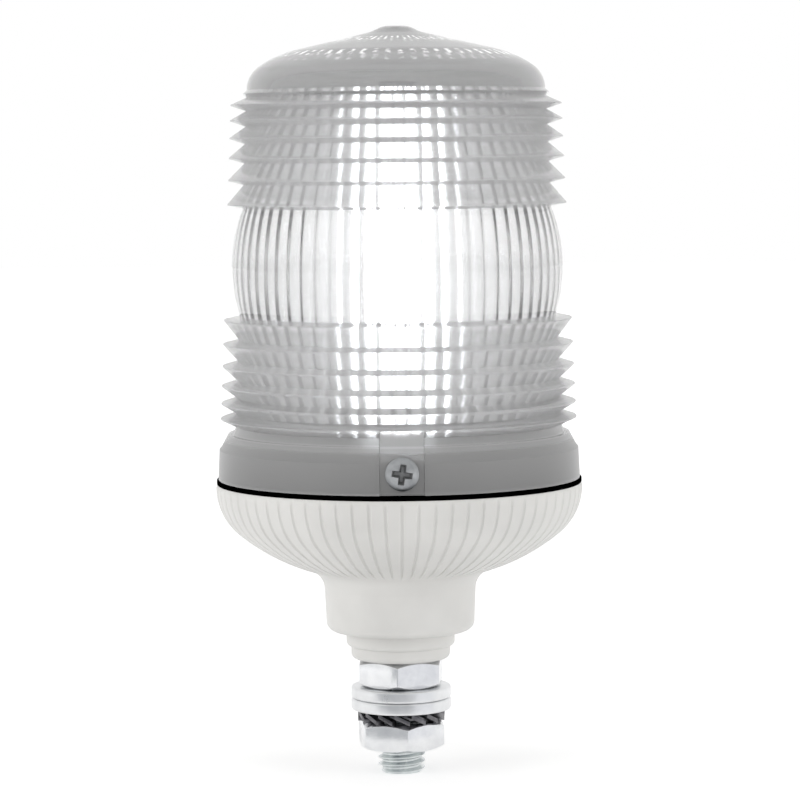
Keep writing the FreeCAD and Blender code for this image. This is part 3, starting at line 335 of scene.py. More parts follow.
# %% Mirror cards


def mirror_card(name, bearing, away, half, top, code):
    """An upright card that only mirrors see, at a bearing and a distance from the axis."""
    paint, _, _ = new_finish(
        name + " paint", Base_Color=BLACK, Emission_Color=hex_colour(code), Emission_Strength=1.0,
    )
    turn = math.radians(bearing)
    middle = Vector((math.cos(turn), math.sin(turn), 0)) * away
    side = Vector((-math.sin(turn), math.cos(turn), 0)) * half
    foot, head = Vector((0, 0, floor_z)), Vector((0, 0, top))
    plate = stage_plate(
        name,
        [middle - side + foot, middle + side + foot, middle + side + head, middle - side + head],
        paint,
    )
    for ray in ("camera", "diffuse", "transmission", "shadow"):
        setattr(plate, "visible_" + ray, False)
    print(name, bearing, "degrees")


mirror_card("far_card", bearing=-90, away=1.2, half=0.3, top=0.6, code="#4A4E54")
mirror_card("front_card", bearing=-100, away=0.05, half=0.05, top=0.03, code="#BEC0C3")
mirror_card("right_card", bearing=-40, away=0.05, half=0.02, top=0.03, code="#F0F1F5")

# %% [markdown]
# Four square lamps, like soft boxes: two at the sides shape the bowl, one above lights the dome, and a weak
# one in front opens the shadows. Mirrors and clear plastic don't see them, so they leave no square glints.

# %% Lamps


def soft_lamp(name, place, aim, size, watts):
    """A square area lamp that faces a point."""
    data = bpy.data.lights.new(name, "AREA")
    data.energy = watts
    data.size = size
    lamp = placed(name, data)
    lamp.location = place
    lamp.rotation_euler = (Vector(aim) - lamp.location).to_track_quat("-Z", "Y").to_euler()
    lamp.visible_glossy = False
    lamp.visible_transmission = False
    print(name, watts, "W")


soft_lamp("left_lamp", place=(-0.8, -0.4, 0.26), aim=(0, 0, 0.05), size=0.6, watts=3.1)
soft_lamp("right_lamp", place=(0.8, -0.4, 0.24), aim=(0, 0, 0.05), size=0.6, watts=2.5)
soft_lamp("top_lamp", place=(0.0, -0.1, 0.9), aim=(0, 0, 0.08), size=0.5, watts=1.3)
soft_lamp("front_lamp", place=(-0.1, -1.0, 0.08), aim=(0, 0, 0.05), size=0.4, watts=0.2)

# %% [markdown]
# ## The drum lens
#
# One clear polycarbonate moulding. Outside it has prism rings above and below a barrel belt: each ring
# bends light towards the horizon. Inside, upright flutes spread the light sideways. The rings are drawn in
# the section, so the lathe makes them. Their pitch shrinks and their tip moves with the distance from the
# belt, as on a Fresnel lens, so one generator steps them off for both zones.

# %% Lens: sizes
LENS_FOOT = low("lens")
LENS_TOP = high("lens")
SKIRT_RADIUS = reach("lens")
SKIRT_HEIGHT = 6.8
SKIRT_DRAFT = 0.3
SHOULDER_STEP = 0.4
SHOULDER_WIDTH = 3.9
SHOULDER_HEIGHT = 4.45
LEDGE_WIDTH = 1.0
LEDGE_SHARE = 0.63
LENS_DRAFT = 2.46
LENS_WALL = 2.2
RING_COUNT = 6
RING_DEPTH = 3.3
RING_PITCH = (4.9, 2.8)
RING_TIP = (0.15, 0.43)
RING_LAND = 0.2
BELT_HEIGHT = 22.7
BELT_BULGE = 2.0
LIP_DEPTH = 0.8
LIP_HEIGHT = 1.5
DOME_CORNER = 6.0
DOME_TURN = 55.0
DOME_SWEEP = 22.0
DOME_SLOPE = 13.0
NUB_RADIUS = 7.0
NUB_SHAPE = ((0.75, 0.28), (0.58, 0.62), (0.46, 0.88), (0.34, 1.0))
FLUTE_COUNT = 60
FLUTE_WIDTH = 2.8
FLUTE_DEPTH = 0.32
FLUTE_END = 0.05
FIT_GAP = 0.15
PAD_WIDTH = 9.0
PAD_DEPTH = 0.9
SCREW_COUNT = 3
COLUMNS_PER_FLUTE = 10

SKIRT_TOP = LENS_FOOT + SKIRT_HEIGHT
RING_FOOT = SKIRT_TOP + SHOULDER_HEIGHT
RING_ZONE = RING_COUNT * sum(RING_PITCH) / 2
BELT_FOOT = RING_FOOT + RING_ZONE
BELT_TOP = BELT_FOOT + BELT_HEIGHT
RING_TOP = BELT_TOP + RING_ZONE
DOME_FOOT = RING_TOP + LIP_HEIGHT
FLUTE_TOP = DOME_FOOT - 2 * FLUTE_END
RING_ROOT = SKIRT_RADIUS - SHOULDER_WIDTH
SHOULDER_EDGE = SKIRT_RADIUS - SKIRT_DRAFT - SHOULDER_STEP
LEDGE_Z = SKIRT_TOP + SHOULDER_HEIGHT * LEDGE_SHARE
LEDGE_RADIUS = SHOULDER_EDGE + (RING_ROOT - SHOULDER_EDGE) * LEDGE_SHARE
SKIRT_INSIDE = reach("chassis") + FIT_GAP


def root_radius(z):
    """Radius at the roots of the rings: the drum narrows upwards."""
    return RING_ROOT - (z - RING_FOOT) * math.tan(math.radians(LENS_DRAFT))


def ring_steps():
    """Distance from the belt of each ring's near root, tip and far root."""
    near = 0.0
    for index in range(RING_COUNT):
        share = index / (RING_COUNT - 1)
        pitch = RING_PITCH[0] + (RING_PITCH[1] - RING_PITCH[0]) * share
        tip = RING_TIP[0] + (RING_TIP[1] - RING_TIP[0]) * share
        yield near, near + tip * pitch, near + pitch
        near += pitch


def ring_tip(z):
    """Both edges of the narrow land on a ring's tip, from below."""
    r = root_radius(z) + RING_DEPTH
    return (r, z - RING_LAND / 2), (r, z + RING_LAND / 2)


def ring_valley(z):
    """The root between two rings."""
    return root_radius(z), z


print("rings from", round(RING_FOOT, 1), "to", round(RING_TOP, 1), "mm")

# %% [markdown]
# The pen goes up the outside: skirt, shoulder with its ledge, lower rings, belt, upper rings, lip, dome and
# nub. It comes back down the inside, one wall further in. Arcs that share a tangent keep the dome smooth.

# %% Lens: section
bm, pen = pen_down(SKIRT_INSIDE, LENS_FOOT)
pen = line(
    bm, pen,
    (SKIRT_RADIUS, LENS_FOOT),
    (SKIRT_RADIUS - SKIRT_DRAFT, SKIRT_TOP - SHOULDER_STEP),
    (SHOULDER_EDGE, SKIRT_TOP),
    (LEDGE_RADIUS + LEDGE_WIDTH / 2, LEDGE_Z),
    (LEDGE_RADIUS - LEDGE_WIDTH / 2, LEDGE_Z),
    (RING_ROOT, RING_FOOT),
)
for near, tip, _ in reversed(list(ring_steps())):
    pen = line(bm, pen, *ring_tip(BELT_FOOT - tip), ring_valley(BELT_FOOT - near))
chord_low = Vector(ring_valley(BELT_FOOT))
chord_high = Vector(ring_valley(BELT_TOP))
chord = chord_high - chord_low
belt_radius = (chord.length_squared / 4 + BELT_BULGE ** 2) / (2 * BELT_BULGE)
belt_outward = Vector((chord.y, -chord.x)).normalized()
belt_centre = (chord_low + chord_high) / 2 - belt_outward * (belt_radius - BELT_BULGE)
belt_angle = 2 * math.degrees(math.asin(chord.length / 2 / belt_radius))
pen = arc(bm, pen, belt_centre, belt_angle, steps=24)
for _, tip, far in ring_steps():
    pen = line(bm, pen, *ring_tip(BELT_TOP + tip), ring_valley(BELT_TOP + far))
lip_z = RING_TOP + LIP_HEIGHT / 2
dome_radius = root_radius(DOME_FOOT)
corner_centre = Vector((dome_radius - DOME_CORNER, DOME_FOOT))
turn = math.radians(DOME_TURN)
dome_centre = corner_centre - (DOME_SWEEP - DOME_CORNER) * Vector((math.cos(turn), math.sin(turn)))
slope = math.radians(DOME_SLOPE)
uphill = Vector((math.sin(slope), math.cos(slope)))
nub_run = dome_centre + uphill * DOME_SWEEP
nub_foot = nub_run.y + (nub_run.x - NUB_RADIUS) * math.tan(slope)
pen = line(bm, pen, (root_radius(lip_z) + LIP_DEPTH, lip_z), (dome_radius, DOME_FOOT))
pen = arc(bm, pen, corner_centre, DOME_TURN, steps=12)
pen = arc(bm, pen, dome_centre, 90 - DOME_SLOPE - DOME_TURN, steps=10)
pen = line(bm, pen, (NUB_RADIUS, nub_foot))
for share_out, share_up in NUB_SHAPE:
    pen = line(bm, pen, (NUB_RADIUS * share_out, nub_foot + (LENS_TOP - nub_foot) * share_up))
inner_run = dome_centre + uphill * (DOME_SWEEP - LENS_WALL)
pen = line(bm, pen, (0, LENS_TOP), (0, inner_run.y + inner_run.x * math.tan(slope)), inner_run)
pen = arc(bm, pen, dome_centre, DOME_SLOPE + DOME_TURN - 90)
pen = arc(bm, pen, corner_centre, -DOME_TURN, steps=10)
line(
    bm, pen,
    (root_radius(FLUTE_TOP + FLUTE_END) - LENS_WALL, FLUTE_TOP + FLUTE_END),
    (root_radius(FLUTE_TOP) - LENS_WALL, FLUTE_TOP),
    (root_radius(RING_FOOT + FLUTE_END) - LENS_WALL, RING_FOOT + FLUTE_END),
    (RING_ROOT - LENS_WALL, RING_FOOT),
    (SKIRT_INSIDE, high("chassis") + FIT_GAP),
    (SKIRT_INSIDE, LENS_FOOT),
)
print("lens section of", len(bm.verts), "points")

# %% [markdown]
# A flute is a shallow round channel. The lathe gives ten columns of vertices to each, and the inner wall
# moves outwards by the depth of an arc at each column. A Boolean with sixty cutters would make the same
# shape, with less even faces.

# %% Lens: lathe and flutes


def turned_place(vert):
    """Radius and height of a vertex in millimetres, and its angle round the axis."""
    x, y, z = vert.co
    return math.hypot(x, y) / MM, z / MM, math.atan2(y, x)


lathe(bm, FLUTE_COUNT * COLUMNS_PER_FLUTE)
flute_step = math.tau / FLUTE_COUNT
flute_curve = (FLUTE_WIDTH ** 2 / 4 + FLUTE_DEPTH ** 2) / (2 * FLUTE_DEPTH)
hollowed = 0
for vert in bm.verts:
    r, z, angle = turned_place(vert)
    on_wall = abs(r - root_radius(z) + LENS_WALL) < ON_SURFACE
    if not (on_wall and RING_FOOT + FLUTE_END / 2 < z < FLUTE_TOP + FLUTE_END / 2):
        continue
    turn = math.remainder(angle, flute_step)
    across = r * math.sin(turn)
    depth = math.sqrt(max(flute_curve ** 2 - across ** 2, 0)) - flute_curve + FLUTE_DEPTH
    if depth > 0:
        vert.co.xy *= 1 + depth / r
        hollowed += 1
print("vertices moved for the flutes", hollowed)

# %% [markdown]
# A screw head needs a flat seat, so the skirt and the shoulder are pressed flat under each one. Vertices in
# the pad go to its plane, and the columns next to it close up to a steep wall.

# %% Lens: flat pads under the screws
PAD_PLANE = SKIRT_RADIUS - PAD_DEPTH
PAD_EDGE = PAD_WIDTH / 2
EDGE_WALL = 0.05
SAME_SIDE = 1.0
COLUMN = SKIRT_RADIUS * math.tau / (FLUTE_COUNT * COLUMNS_PER_FLUTE)
SCREW_ANGLES = [math.radians(-90 + 360 * k / SCREW_COUNT) for k in range(SCREW_COUNT)]
pressed = 0
for vert in bm.verts:
    r, z, angle = turned_place(vert)
    inner = r < RING_ROOT - ON_SURFACE or abs(r - SKIRT_INSIDE) < ON_SURFACE
    if inner or z > RING_FOOT + ON_SURFACE:
        continue
    for screw_angle in SCREW_ANGLES:
        turn = math.remainder(angle - screw_angle, math.tau)
        across = SKIRT_RADIUS * math.sin(turn)
        if abs(turn) > SAME_SIDE or abs(across) > PAD_EDGE + COLUMN:
            continue
        outward = Vector((math.cos(screw_angle), math.sin(screw_angle), 0))
        sideways = Vector((-outward.y, outward.x, 0))
        if abs(across) > PAD_EDGE:
            side = math.copysign(PAD_EDGE + EDGE_WALL, across)
            away = math.sqrt(r ** 2 - side ** 2)
        else:
            side = across
            away = PAD_PLANE
        vert.co.xy = ((outward * away + sideways * side) * MM).xy
        pressed += 1
merge_doubles(bm)
print("vertices moved for the pads", pressed)

# %% [markdown]
# Polycarbonate is clear, with a strong glint: its refractive index of 1.58 is higher than that of window
# glass. The mould is polished for the belt, less so for the rings and the dome, and left matt for the
# skirt. So roughness, clearness and the grey of the haze change with height. One ramp along Z carries all
# three, as its red, green and blue. The mould's polish also leaves a faint unevenness that breaks up the
# reflections.

# %% Lens: clear polycarbonate
POLISH_RIPPLE = 9.0
RIPPLE_DEPTH = 0.4
RIPPLE_STRENGTH = 0.05
POLISH_FADE = 0.5
THIN_FADE = 0.2
FOOT_LINE = 0.2
MATT_RISE = 1.4
LEDGE_LINE = 0.15
# The next tone, for thin bands at the skirt's foot and on the shoulder's ledge, is glossier and has a lighter
# grey: painted highlight lines.
HIGHLIGHT_LINE_TONE = (0.20, 0.32, 0.50)
# On the skirt the grey is darker low down than high up; its roughness and clearness stay the same.
MATT_LOW = (0.30, 0.32, 0.25)
MATT_HIGH = (0.30, 0.32, 0.32)
FROSTED = (0.25, 0.32, 0.38)
SATIN = (0.24, 0.74, 0.66)
HAZY = (0.10, 0.67, 0.49)
POLISHED = (0.05, 0.94, 0.81)
polish_by_height = (
    (LENS_FOOT + FOOT_LINE, HIGHLIGHT_LINE_TONE), (LENS_FOOT + FOOT_LINE + THIN_FADE, MATT_LOW),
    (SKIRT_TOP + MATT_RISE, MATT_HIGH), (SKIRT_TOP + MATT_RISE + THIN_FADE, FROSTED),
    (LEDGE_Z - LEDGE_LINE, FROSTED), (LEDGE_Z, HIGHLIGHT_LINE_TONE), (LEDGE_Z + LEDGE_LINE, FROSTED),
    (RING_FOOT + POLISH_FADE, FROSTED), (RING_FOOT + 3 * POLISH_FADE, SATIN),
    (BELT_FOOT - POLISH_FADE, SATIN), (BELT_FOOT + POLISH_FADE, POLISHED),
    (BELT_TOP - POLISH_FADE, POLISHED), (BELT_TOP + POLISH_FADE, SATIN),
    (RING_TOP - POLISH_FADE, SATIN), (RING_TOP + POLISH_FADE, HAZY),
)
clear_lens, tree, shader = new_finish("clear moulded polycarbonate", IOR=1.58)
place = add_node(tree, "ShaderNodeTexCoord").outputs["Object"]
axes = add_node(tree, "ShaderNodeSeparateXYZ", links={"Vector": place}).outputs
climb = add_node(
    tree, "ShaderNodeMapRange", links={"Value": axes["Z"]},
    sockets={"From Min": LENS_FOOT * MM, "From Max": LENS_TOP * MM},
)
polish = add_node(tree, "ShaderNodeValToRGB", links={"Fac": climb.outputs["Result"]})
for z, zone in polish_by_height:
    polish.color_ramp.elements.new((z - LENS_FOOT) / (LENS_TOP - LENS_FOOT)).color = (*zone, 1.0)
polish.color_ramp.elements[0].color = (*HIGHLIGHT_LINE_TONE, 1.0)
polish.color_ramp.elements[-1].color = (*HAZY, 1.0)
parts = add_node(tree, "ShaderNodeSeparateColor", links={"Color": polish.outputs["Color"]})
for part, socket in (("Red", "Roughness"), ("Green", "Transmission Weight"), ("Blue", "Base Color")):
    tree.links.new(parts.outputs[part], shader.inputs[socket])
ripple = add_node(
    tree, "ShaderNodeTexNoise", links={"Vector": place},
    sockets={"Scale": 1 / (POLISH_RIPPLE * MM), "Detail": 2.0},
)
relief = add_node(
    tree, "ShaderNodeBump", links={"Height": ripple.outputs[0]},
    sockets={"Strength": RIPPLE_STRENGTH, "Distance": RIPPLE_DEPTH * MM},
)
tree.links.new(relief.outputs[0], shader.inputs["Normal"])
print("polish zones", len(polish_by_height))

# %% [markdown]
# The flutes split the tube's light. On two rings of the dome the finish paints a glow that stands for it:
# arcs of short radial streaks of painted light, with as many streaks as there are flutes and an uneven
# strength. Clear plastic lets the lamps' light through, but the renderer would give the lens a full shadow,
# so its shadow is switched off.

# %% Lens: painted glow on the dome
PAINTED_GLOW_RINGS = ((9.8, 14.2), (22.6, 25.6))
PAINTED_GLOW_FADE = 0.5
PAINTED_GLOW_PATCH = 1.4
PAINTED_GLOW_SPREAD = (0.42, 0.62)
PAINTED_GLOW_STRENGTH = 0.7
PAINTED_STREAK_START = -0.2
level = add_node(
    tree, "ShaderNodeVectorMath", operation="MULTIPLY", sockets={1: (1, 1, 0)}, links={0: place},
)
away = add_node(tree, "ShaderNodeVectorMath", operation="LENGTH", links={0: level.outputs[0]})
outward = add_node(
    tree, "ShaderNodeMapRange", links={"Value": away.outputs["Value"]},
    sockets={"From Max": SKIRT_RADIUS * MM},
)
painted_glow_ramp = add_node(tree, "ShaderNodeValToRGB", links={"Fac": outward.outputs["Result"]})
painted_glow_ramp.color_ramp.elements[-1].color = BLACK
for start, end in PAINTED_GLOW_RINGS:
    for r, shade in (
        (start, BLACK), (start + PAINTED_GLOW_FADE, WHITE), (end - PAINTED_GLOW_FADE, WHITE), (end, BLACK),
    ):
        painted_glow_ramp.color_ramp.elements.new(r / SKIRT_RADIUS).color = shade
bearing = add_node(tree, "ShaderNodeMath", operation="ARCTAN2", links={0: axes["Y"], 1: axes["X"]})
by_flute = add_node(
    tree, "ShaderNodeMath", operation="MULTIPLY", sockets={1: FLUTE_COUNT}, links={0: bearing.outputs[0]},
)
wave = add_node(tree, "ShaderNodeMath", operation="SINE", links={0: by_flute.outputs[0]})
streaks = add_node(
    tree, "ShaderNodeMapRange", links={"Value": wave.outputs[0]},
    sockets={"From Min": PAINTED_STREAK_START, "From Max": 1.0},
)
patches = add_node(
    tree, "ShaderNodeTexNoise", links={"Vector": place},
    sockets={"Scale": 1 / (PAINTED_GLOW_PATCH * MM), "Detail": 2.0},
)
uneven = add_node(
    tree, "ShaderNodeMapRange", links={"Value": patches.outputs["Fac"]},
    sockets={"From Min": PAINTED_GLOW_SPREAD[0], "From Max": PAINTED_GLOW_SPREAD[1], "To Max": PAINTED_GLOW_STRENGTH},
)
glow = painted_glow_ramp.outputs["Color"]
for factor in (streaks.outputs["Result"], uneven.outputs["Result"]):
    glow = add_node(tree, "ShaderNodeMath", operation="MULTIPLY", links={0: glow, 1: factor}).outputs[0]
# The painted glow on the two rings of the dome drives the lens's emission.
tree.links.new(glow, shader.inputs["Emission Strength"])
shader.inputs["Emission Color"].default_value = WHITE
drum_lens = finished("drum_lens", bm, "beacon", clear_lens, ["lens"], sharp=18)
drum_lens.visible_shadow = False

# %% [markdown]
# ## One recipe for moulded and plated surfaces
#
# Most surfaces of the beacon differ from a flat colour in the same two ways. They have a fine grain, from
# the mould or from plating, that the light picks out. And their colour and gloss drift a little over
# broader patches, from flow in the mould, from handling and from dust. The recipe takes both sizes in
# millimetres. The real grain is often finer than a pixel of the picture, so it is drawn as coarse as it
# needs to show.

# %% Moulded and plated finishes
HUE_DRIFT = (0.35, 0.65)
GLOSS_DRIFT = (0.3, 0.7)


def worked_finish(name, colours, roughness, grain, depth, patch, **sockets):
    """A finish with a fine grain, and patches in which colour and roughness drift."""
    finish, tree, shader = new_finish(name, **sockets)
    place = add_node(tree, "ShaderNodeTexCoord").outputs["Object"]
    drift = add_node(
        tree, "ShaderNodeTexNoise", links={"Vector": place},
        sockets={"Scale": 1 / (patch * MM), "Detail": 3.0},
    ).outputs["Fac"]
    hue = add_node(tree, "ShaderNodeValToRGB", links={"Fac": drift})
    for element, position, code in zip(hue.color_ramp.elements, HUE_DRIFT, colours):
        element.position = position
        element.color = hex_colour(code)
    gloss = add_node(
        tree, "ShaderNodeMapRange", links={"Value": drift},
        sockets={
            "From Min": GLOSS_DRIFT[0], "From Max": GLOSS_DRIFT[1],
            "To Min": roughness[0], "To Max": roughness[1],
        },
    )
    fine = add_node(
        tree, "ShaderNodeTexNoise", links={"Vector": place},
        sockets={"Scale": 1 / (grain * MM), "Detail": 2.0},
    )
    relief = add_node(
        tree, "ShaderNodeBump", sockets={"Distance": depth * MM}, links={"Height": fine.outputs["Fac"]},
    )
    tree.links.new(hue.outputs["Color"], shader.inputs["Base Color"])
    tree.links.new(gloss.outputs["Result"], shader.inputs["Roughness"])
    tree.links.new(relief.outputs["Normal"], shader.inputs["Normal"])
    print("finish", name)
    return finish


# %% [markdown]
# ## Lens screws
#
# Pan-head screws with a cross recess hold the skirt to the chassis. The head and the shank are one section,
# turned about Z, with the head's crown as an arc.

# %% Screw: turned blank
SCREW_HEAD = 3.4
SCREW_HEAD_HEIGHT = 2.0
SCREW_RIM = 0.55
SCREW_SHANK = 1.4
SCREW_LENGTH = 7.4
SCREW_POINT = 0.56
SCREW_CONE = 2.0
SCREW_EASE = 0.15
SCREW_AXIS = (low("lens_screws") + high("lens_screws")) / 2
crown = SCREW_HEAD_HEIGHT - SCREW_RIM
crown_radius = (SCREW_HEAD ** 2 + crown ** 2) / (2 * crown)
crown_angle = math.degrees(math.asin(SCREW_HEAD / crown_radius))
bm, pen = pen_down(0, -SCREW_LENGTH)
pen = line(
    bm, pen,
    (SCREW_POINT, -SCREW_LENGTH), (SCREW_SHANK, SCREW_CONE - SCREW_LENGTH), (SCREW_SHANK, 0),
    (SCREW_HEAD - SCREW_EASE, 0), (SCREW_HEAD, SCREW_EASE), (SCREW_HEAD, SCREW_RIM),
)
arc(bm, pen, (0, SCREW_HEAD_HEIGHT - crown_radius), crown_angle, steps=10)
lathe(bm, steps=48)
screw_blank = into_scene("screw_blank", bm)
print("screw crown radius", round(crown_radius, 2), "mm")

# %% [markdown]
# A punch presses the recess into a real head. Here two crossed, tapered blades stand for the punch, and a
# Boolean modifier takes them away. The faces that then lie under the crown are marked for painted shade.

# %% Screw: cross recess
BLADE_LENGTH = 6.2
BLADE_WIDTH = 2.2
BLADE_DEPTH = 1.8
BLADE_TAPER = 0.5
BLADE_POINT = 0.3
RECESS_TURN = -8.0
RECESS_SKIN = 0.05
RECESS_REACH = 3.2
bm = bmesh.new()
for quarter in (0, 90):
    blade = bmesh.ops.create_cube(bm, size=1.0)["verts"]
    bmesh.ops.scale(bm, verts=blade, vec=Vector((BLADE_LENGTH, BLADE_WIDTH, BLADE_DEPTH * 2)) * MM)
    foot = [vert for vert in blade if vert.co.z < 0]
    bmesh.ops.scale(bm, verts=foot, vec=(BLADE_TAPER, BLADE_POINT, 1))
    swing = Matrix.Rotation(math.radians(quarter + RECESS_TURN), 3, "Z")
    bmesh.ops.rotate(bm, verts=blade, matrix=swing)
bmesh.ops.translate(bm, verts=bm.verts, vec=(0, 0, SCREW_HEAD_HEIGHT * MM))
cutter = into_scene("recess_cutter", bm)
recess = screw_blank.modifiers.new("recess", "BOOLEAN")
recess.object = cutter
recess.operation = "DIFFERENCE"
recess.use_self = True
depsgraph = bpy.context.evaluated_depsgraph_get()
cut_screw = bpy.data.meshes.new_from_object(screw_blank.evaluated_get(depsgraph))
for helper in (screw_blank, cutter):
    bpy.data.objects.remove(helper)
crown_centre = Vector((0, 0, SCREW_HEAD_HEIGHT - crown_radius)) * MM
in_recess = [
    face for face in cut_screw.polygons
    if face.center.z > RECESS_SKIN * MM and face.center.xy.length < RECESS_REACH * MM
    and (face.center - crown_centre).length < (crown_radius - RECESS_SKIN) * MM
]
for face in in_recess:
    face.material_index = 1
print("screw", len(cut_screw.polygons), "faces,", len(in_recess), "in the recess")

# %% [markdown]
# The screws are zinc plated too, but passivated to a duller grey than the nuts, and driven once, which
# leaves the plating scuffed. So their gloss is low and uneven. The recess gets a darker finish: painted
# shade.

# %% Dull zinc
dull_zinc = worked_finish(
    "dull zinc plated steel", ("#8E9092", "#A6A8AA"), (0.30, 0.44),
    grain=0.5, depth=0.012, patch=2.0, Metallic=1.0,
)
# A darker finish that paints shade into the cross recess.
recess_shade_zinc = worked_finish(
    "zinc with painted shade in a recess", ("#7E7F80", "#8C8D8E"), (0.45, 0.6),
    grain=0.5, depth=0.02, patch=1.0, Metallic=0.5,
)

# %% [markdown]
# The screw was turned upright, with its seat at the origin. So it is laid on its side and moved to the front
# pad, and a spin that duplicates puts the others round the lens.

# %% Screws: three in place
bm = bmesh.new()
bm.from_mesh(cut_screw)
merge_doubles(bm)
lie_down = Matrix.Rotation(math.radians(90), 4, "X")
seat = Matrix.Translation(Vector((0, -PAD_PLANE, SCREW_AXIS)) * MM)
bmesh.ops.transform(bm, verts=bm.verts, matrix=seat @ lie_down)
bmesh.ops.spin(
    bm, geom=bm.verts[:] + bm.edges[:] + bm.faces[:], cent=(0, 0, 0), axis=(0, 0, 1),
    angle=math.tau, steps=SCREW_COUNT, use_duplicate=True,
)
close_up(bm)
screws = finished("pan_head_screws", bm, "beacon", dull_zinc, ["lens_screws"])
# The faces in the recess take the finish of painted shade.
screws.data.materials.append(recess_shade_zinc)

# %% [markdown]
# ## Gasket
#
# A ring of black rubber is squeezed between skirt and bowl. Only its outer edge shows, as a black line. So
# its section has rounded corners, and the squeezed edge bulges a little over the rim of the bowl. Rubber has
# hardly any gloss, so the mirror part of its shader is off.

# %% Gasket
black_rubber = worked_finish(
    "black gasket rubber", ("#000000", "#030303"), (0.6, 0.8),
    grain=0.8, depth=0.02, patch=4.0, Specular_IOR_Level=0.0,
)
GASKET_FOOT = low("lens_gasket")
GASKET_TOP = high("lens_gasket")
GASKET_EDGE = 0.2
GASKET_SQUEEZE = 0.15
GASKET_INSIDE = SKIRT_INSIDE + FIT_GAP
GASKET_OUTSIDE = reach("lens_gasket") + GASKET_SQUEEZE
GASKET_LIP = GASKET_FOOT - GASKET_SQUEEZE
GASKET_RIM = GASKET_OUTSIDE - GASKET_EDGE
bm, pen = pen_down(GASKET_INSIDE, GASKET_FOOT)
pen = line(bm, pen, (GASKET_RIM, GASKET_LIP))
pen = arc(bm, pen, (GASKET_RIM, GASKET_LIP + GASKET_EDGE), 90, steps=4)
pen = line(bm, pen, (GASKET_OUTSIDE, GASKET_TOP - GASKET_EDGE))
pen = arc(bm, pen, (GASKET_RIM, GASKET_TOP - GASKET_EDGE), 90, steps=4)
line(bm, pen, (GASKET_INSIDE, GASKET_TOP), (GASKET_INSIDE, GASKET_FOOT))
lathe(bm, steps=192)
finished("rubber_gasket", bm, "beacon", black_rubber, ["lens_gasket"])

# %% [markdown]
# ## The ribbed bowl
#
# The base is one white moulding: a neck, a fillet, a bowl of two tangent arcs, and a rim. Its section is
# drawn with true arcs. The centres follow from the radii, so that each arc meets the next without a crease.

# %% Bowl: sizes
NECK_FOOT = low("base_housing")
RIM_TOP = high("base_housing")
BOWL_RADIUS = reach("base_housing")
RIM_BAND = 0.9
RIM_DRAFT = 0.2
RIM_EDGE = 0.2
BASE_WALL = 2.4
NECK_RADIUS = 16.0
NECK_DRAFT = 0.3
NECK_EDGE = 2.0
NECK_FLOOR = 2.5
NECK_FILLET = 4.5
KNUCKLE = 12.5
KNUCKLE_TURN = 50.0
SWEEP = 42.0
GROOVE_COUNT = 72
GROOVE_DEPTH = 0.32
GROOVE_TOP = -0.1
SPIGOT_HOLE = 10.15

BOWL_WIDE = RIM_TOP - RIM_BAND
knuckle_centre = Vector((BOWL_RADIUS - KNUCKLE, BOWL_WIDE))
turn = math.radians(KNUCKLE_TURN)
sweep_centre = knuckle_centre + (SWEEP - KNUCKLE) * Vector((-math.cos(turn), math.sin(turn)))
fillet_x = NECK_RADIUS + NECK_FILLET
fillet_rise = math.sqrt((SWEEP + NECK_FILLET) ** 2 - (fillet_x - sweep_centre.x) ** 2)
fillet_centre = Vector((fillet_x, sweep_centre.y - fillet_rise))
fillet_turn = math.degrees(math.atan2(fillet_rise, fillet_x - sweep_centre.x))
print("bowl widest at", round(BOWL_WIDE, 2), "neck fillet at", round(fillet_centre.y, 2))

# %% [markdown]
# The pen goes up the outside from the neck's foot to the rim, and back down the inside, one wall further in.

# %% Bowl: section
foot_radius = NECK_RADIUS - NECK_DRAFT
rim_radius = BOWL_RADIUS - RIM_DRAFT
floor_height = NECK_FOOT + NECK_FLOOR
bm, pen = pen_down(SPIGOT_HOLE, NECK_FOOT)
pen = line(bm, pen, (foot_radius - NECK_EDGE, NECK_FOOT))
pen = arc(bm, pen, (foot_radius - NECK_EDGE, NECK_FOOT + NECK_EDGE), 90)
pen = line(bm, pen, (NECK_RADIUS, fillet_centre.y))
pen = arc(bm, pen, fillet_centre, -fillet_turn)
pen = arc(bm, pen, sweep_centre, fillet_turn - KNUCKLE_TURN, steps=22)
pen = arc(bm, pen, knuckle_centre, KNUCKLE_TURN, steps=16)
pen = line(
    bm, pen,
    (rim_radius, RIM_TOP - RIM_EDGE), (rim_radius - RIM_EDGE, RIM_TOP),
    (rim_radius - BASE_WALL, RIM_TOP), (BOWL_RADIUS - BASE_WALL, BOWL_WIDE),
)
pen = arc(bm, pen, knuckle_centre, -KNUCKLE_TURN)
pen = arc(bm, pen, sweep_centre, KNUCKLE_TURN - fillet_turn)
pen = arc(bm, pen, fillet_centre, fillet_turn, steps=4)
line(
    bm, pen,
    (NECK_RADIUS - BASE_WALL, floor_height), (SPIGOT_HOLE, floor_height), (SPIGOT_HOLE, NECK_FOOT),
)
print("bowl section of", len(bm.verts), "points")

# %% [markdown]
# The ribs are what is left between narrow grooves. The lathe gives eight columns to each rib. The columns are
# then gathered towards the groove, where the detail is, at angles in degrees from its middle. The ones in a
# groove are pushed in along their normals, with soft ends.

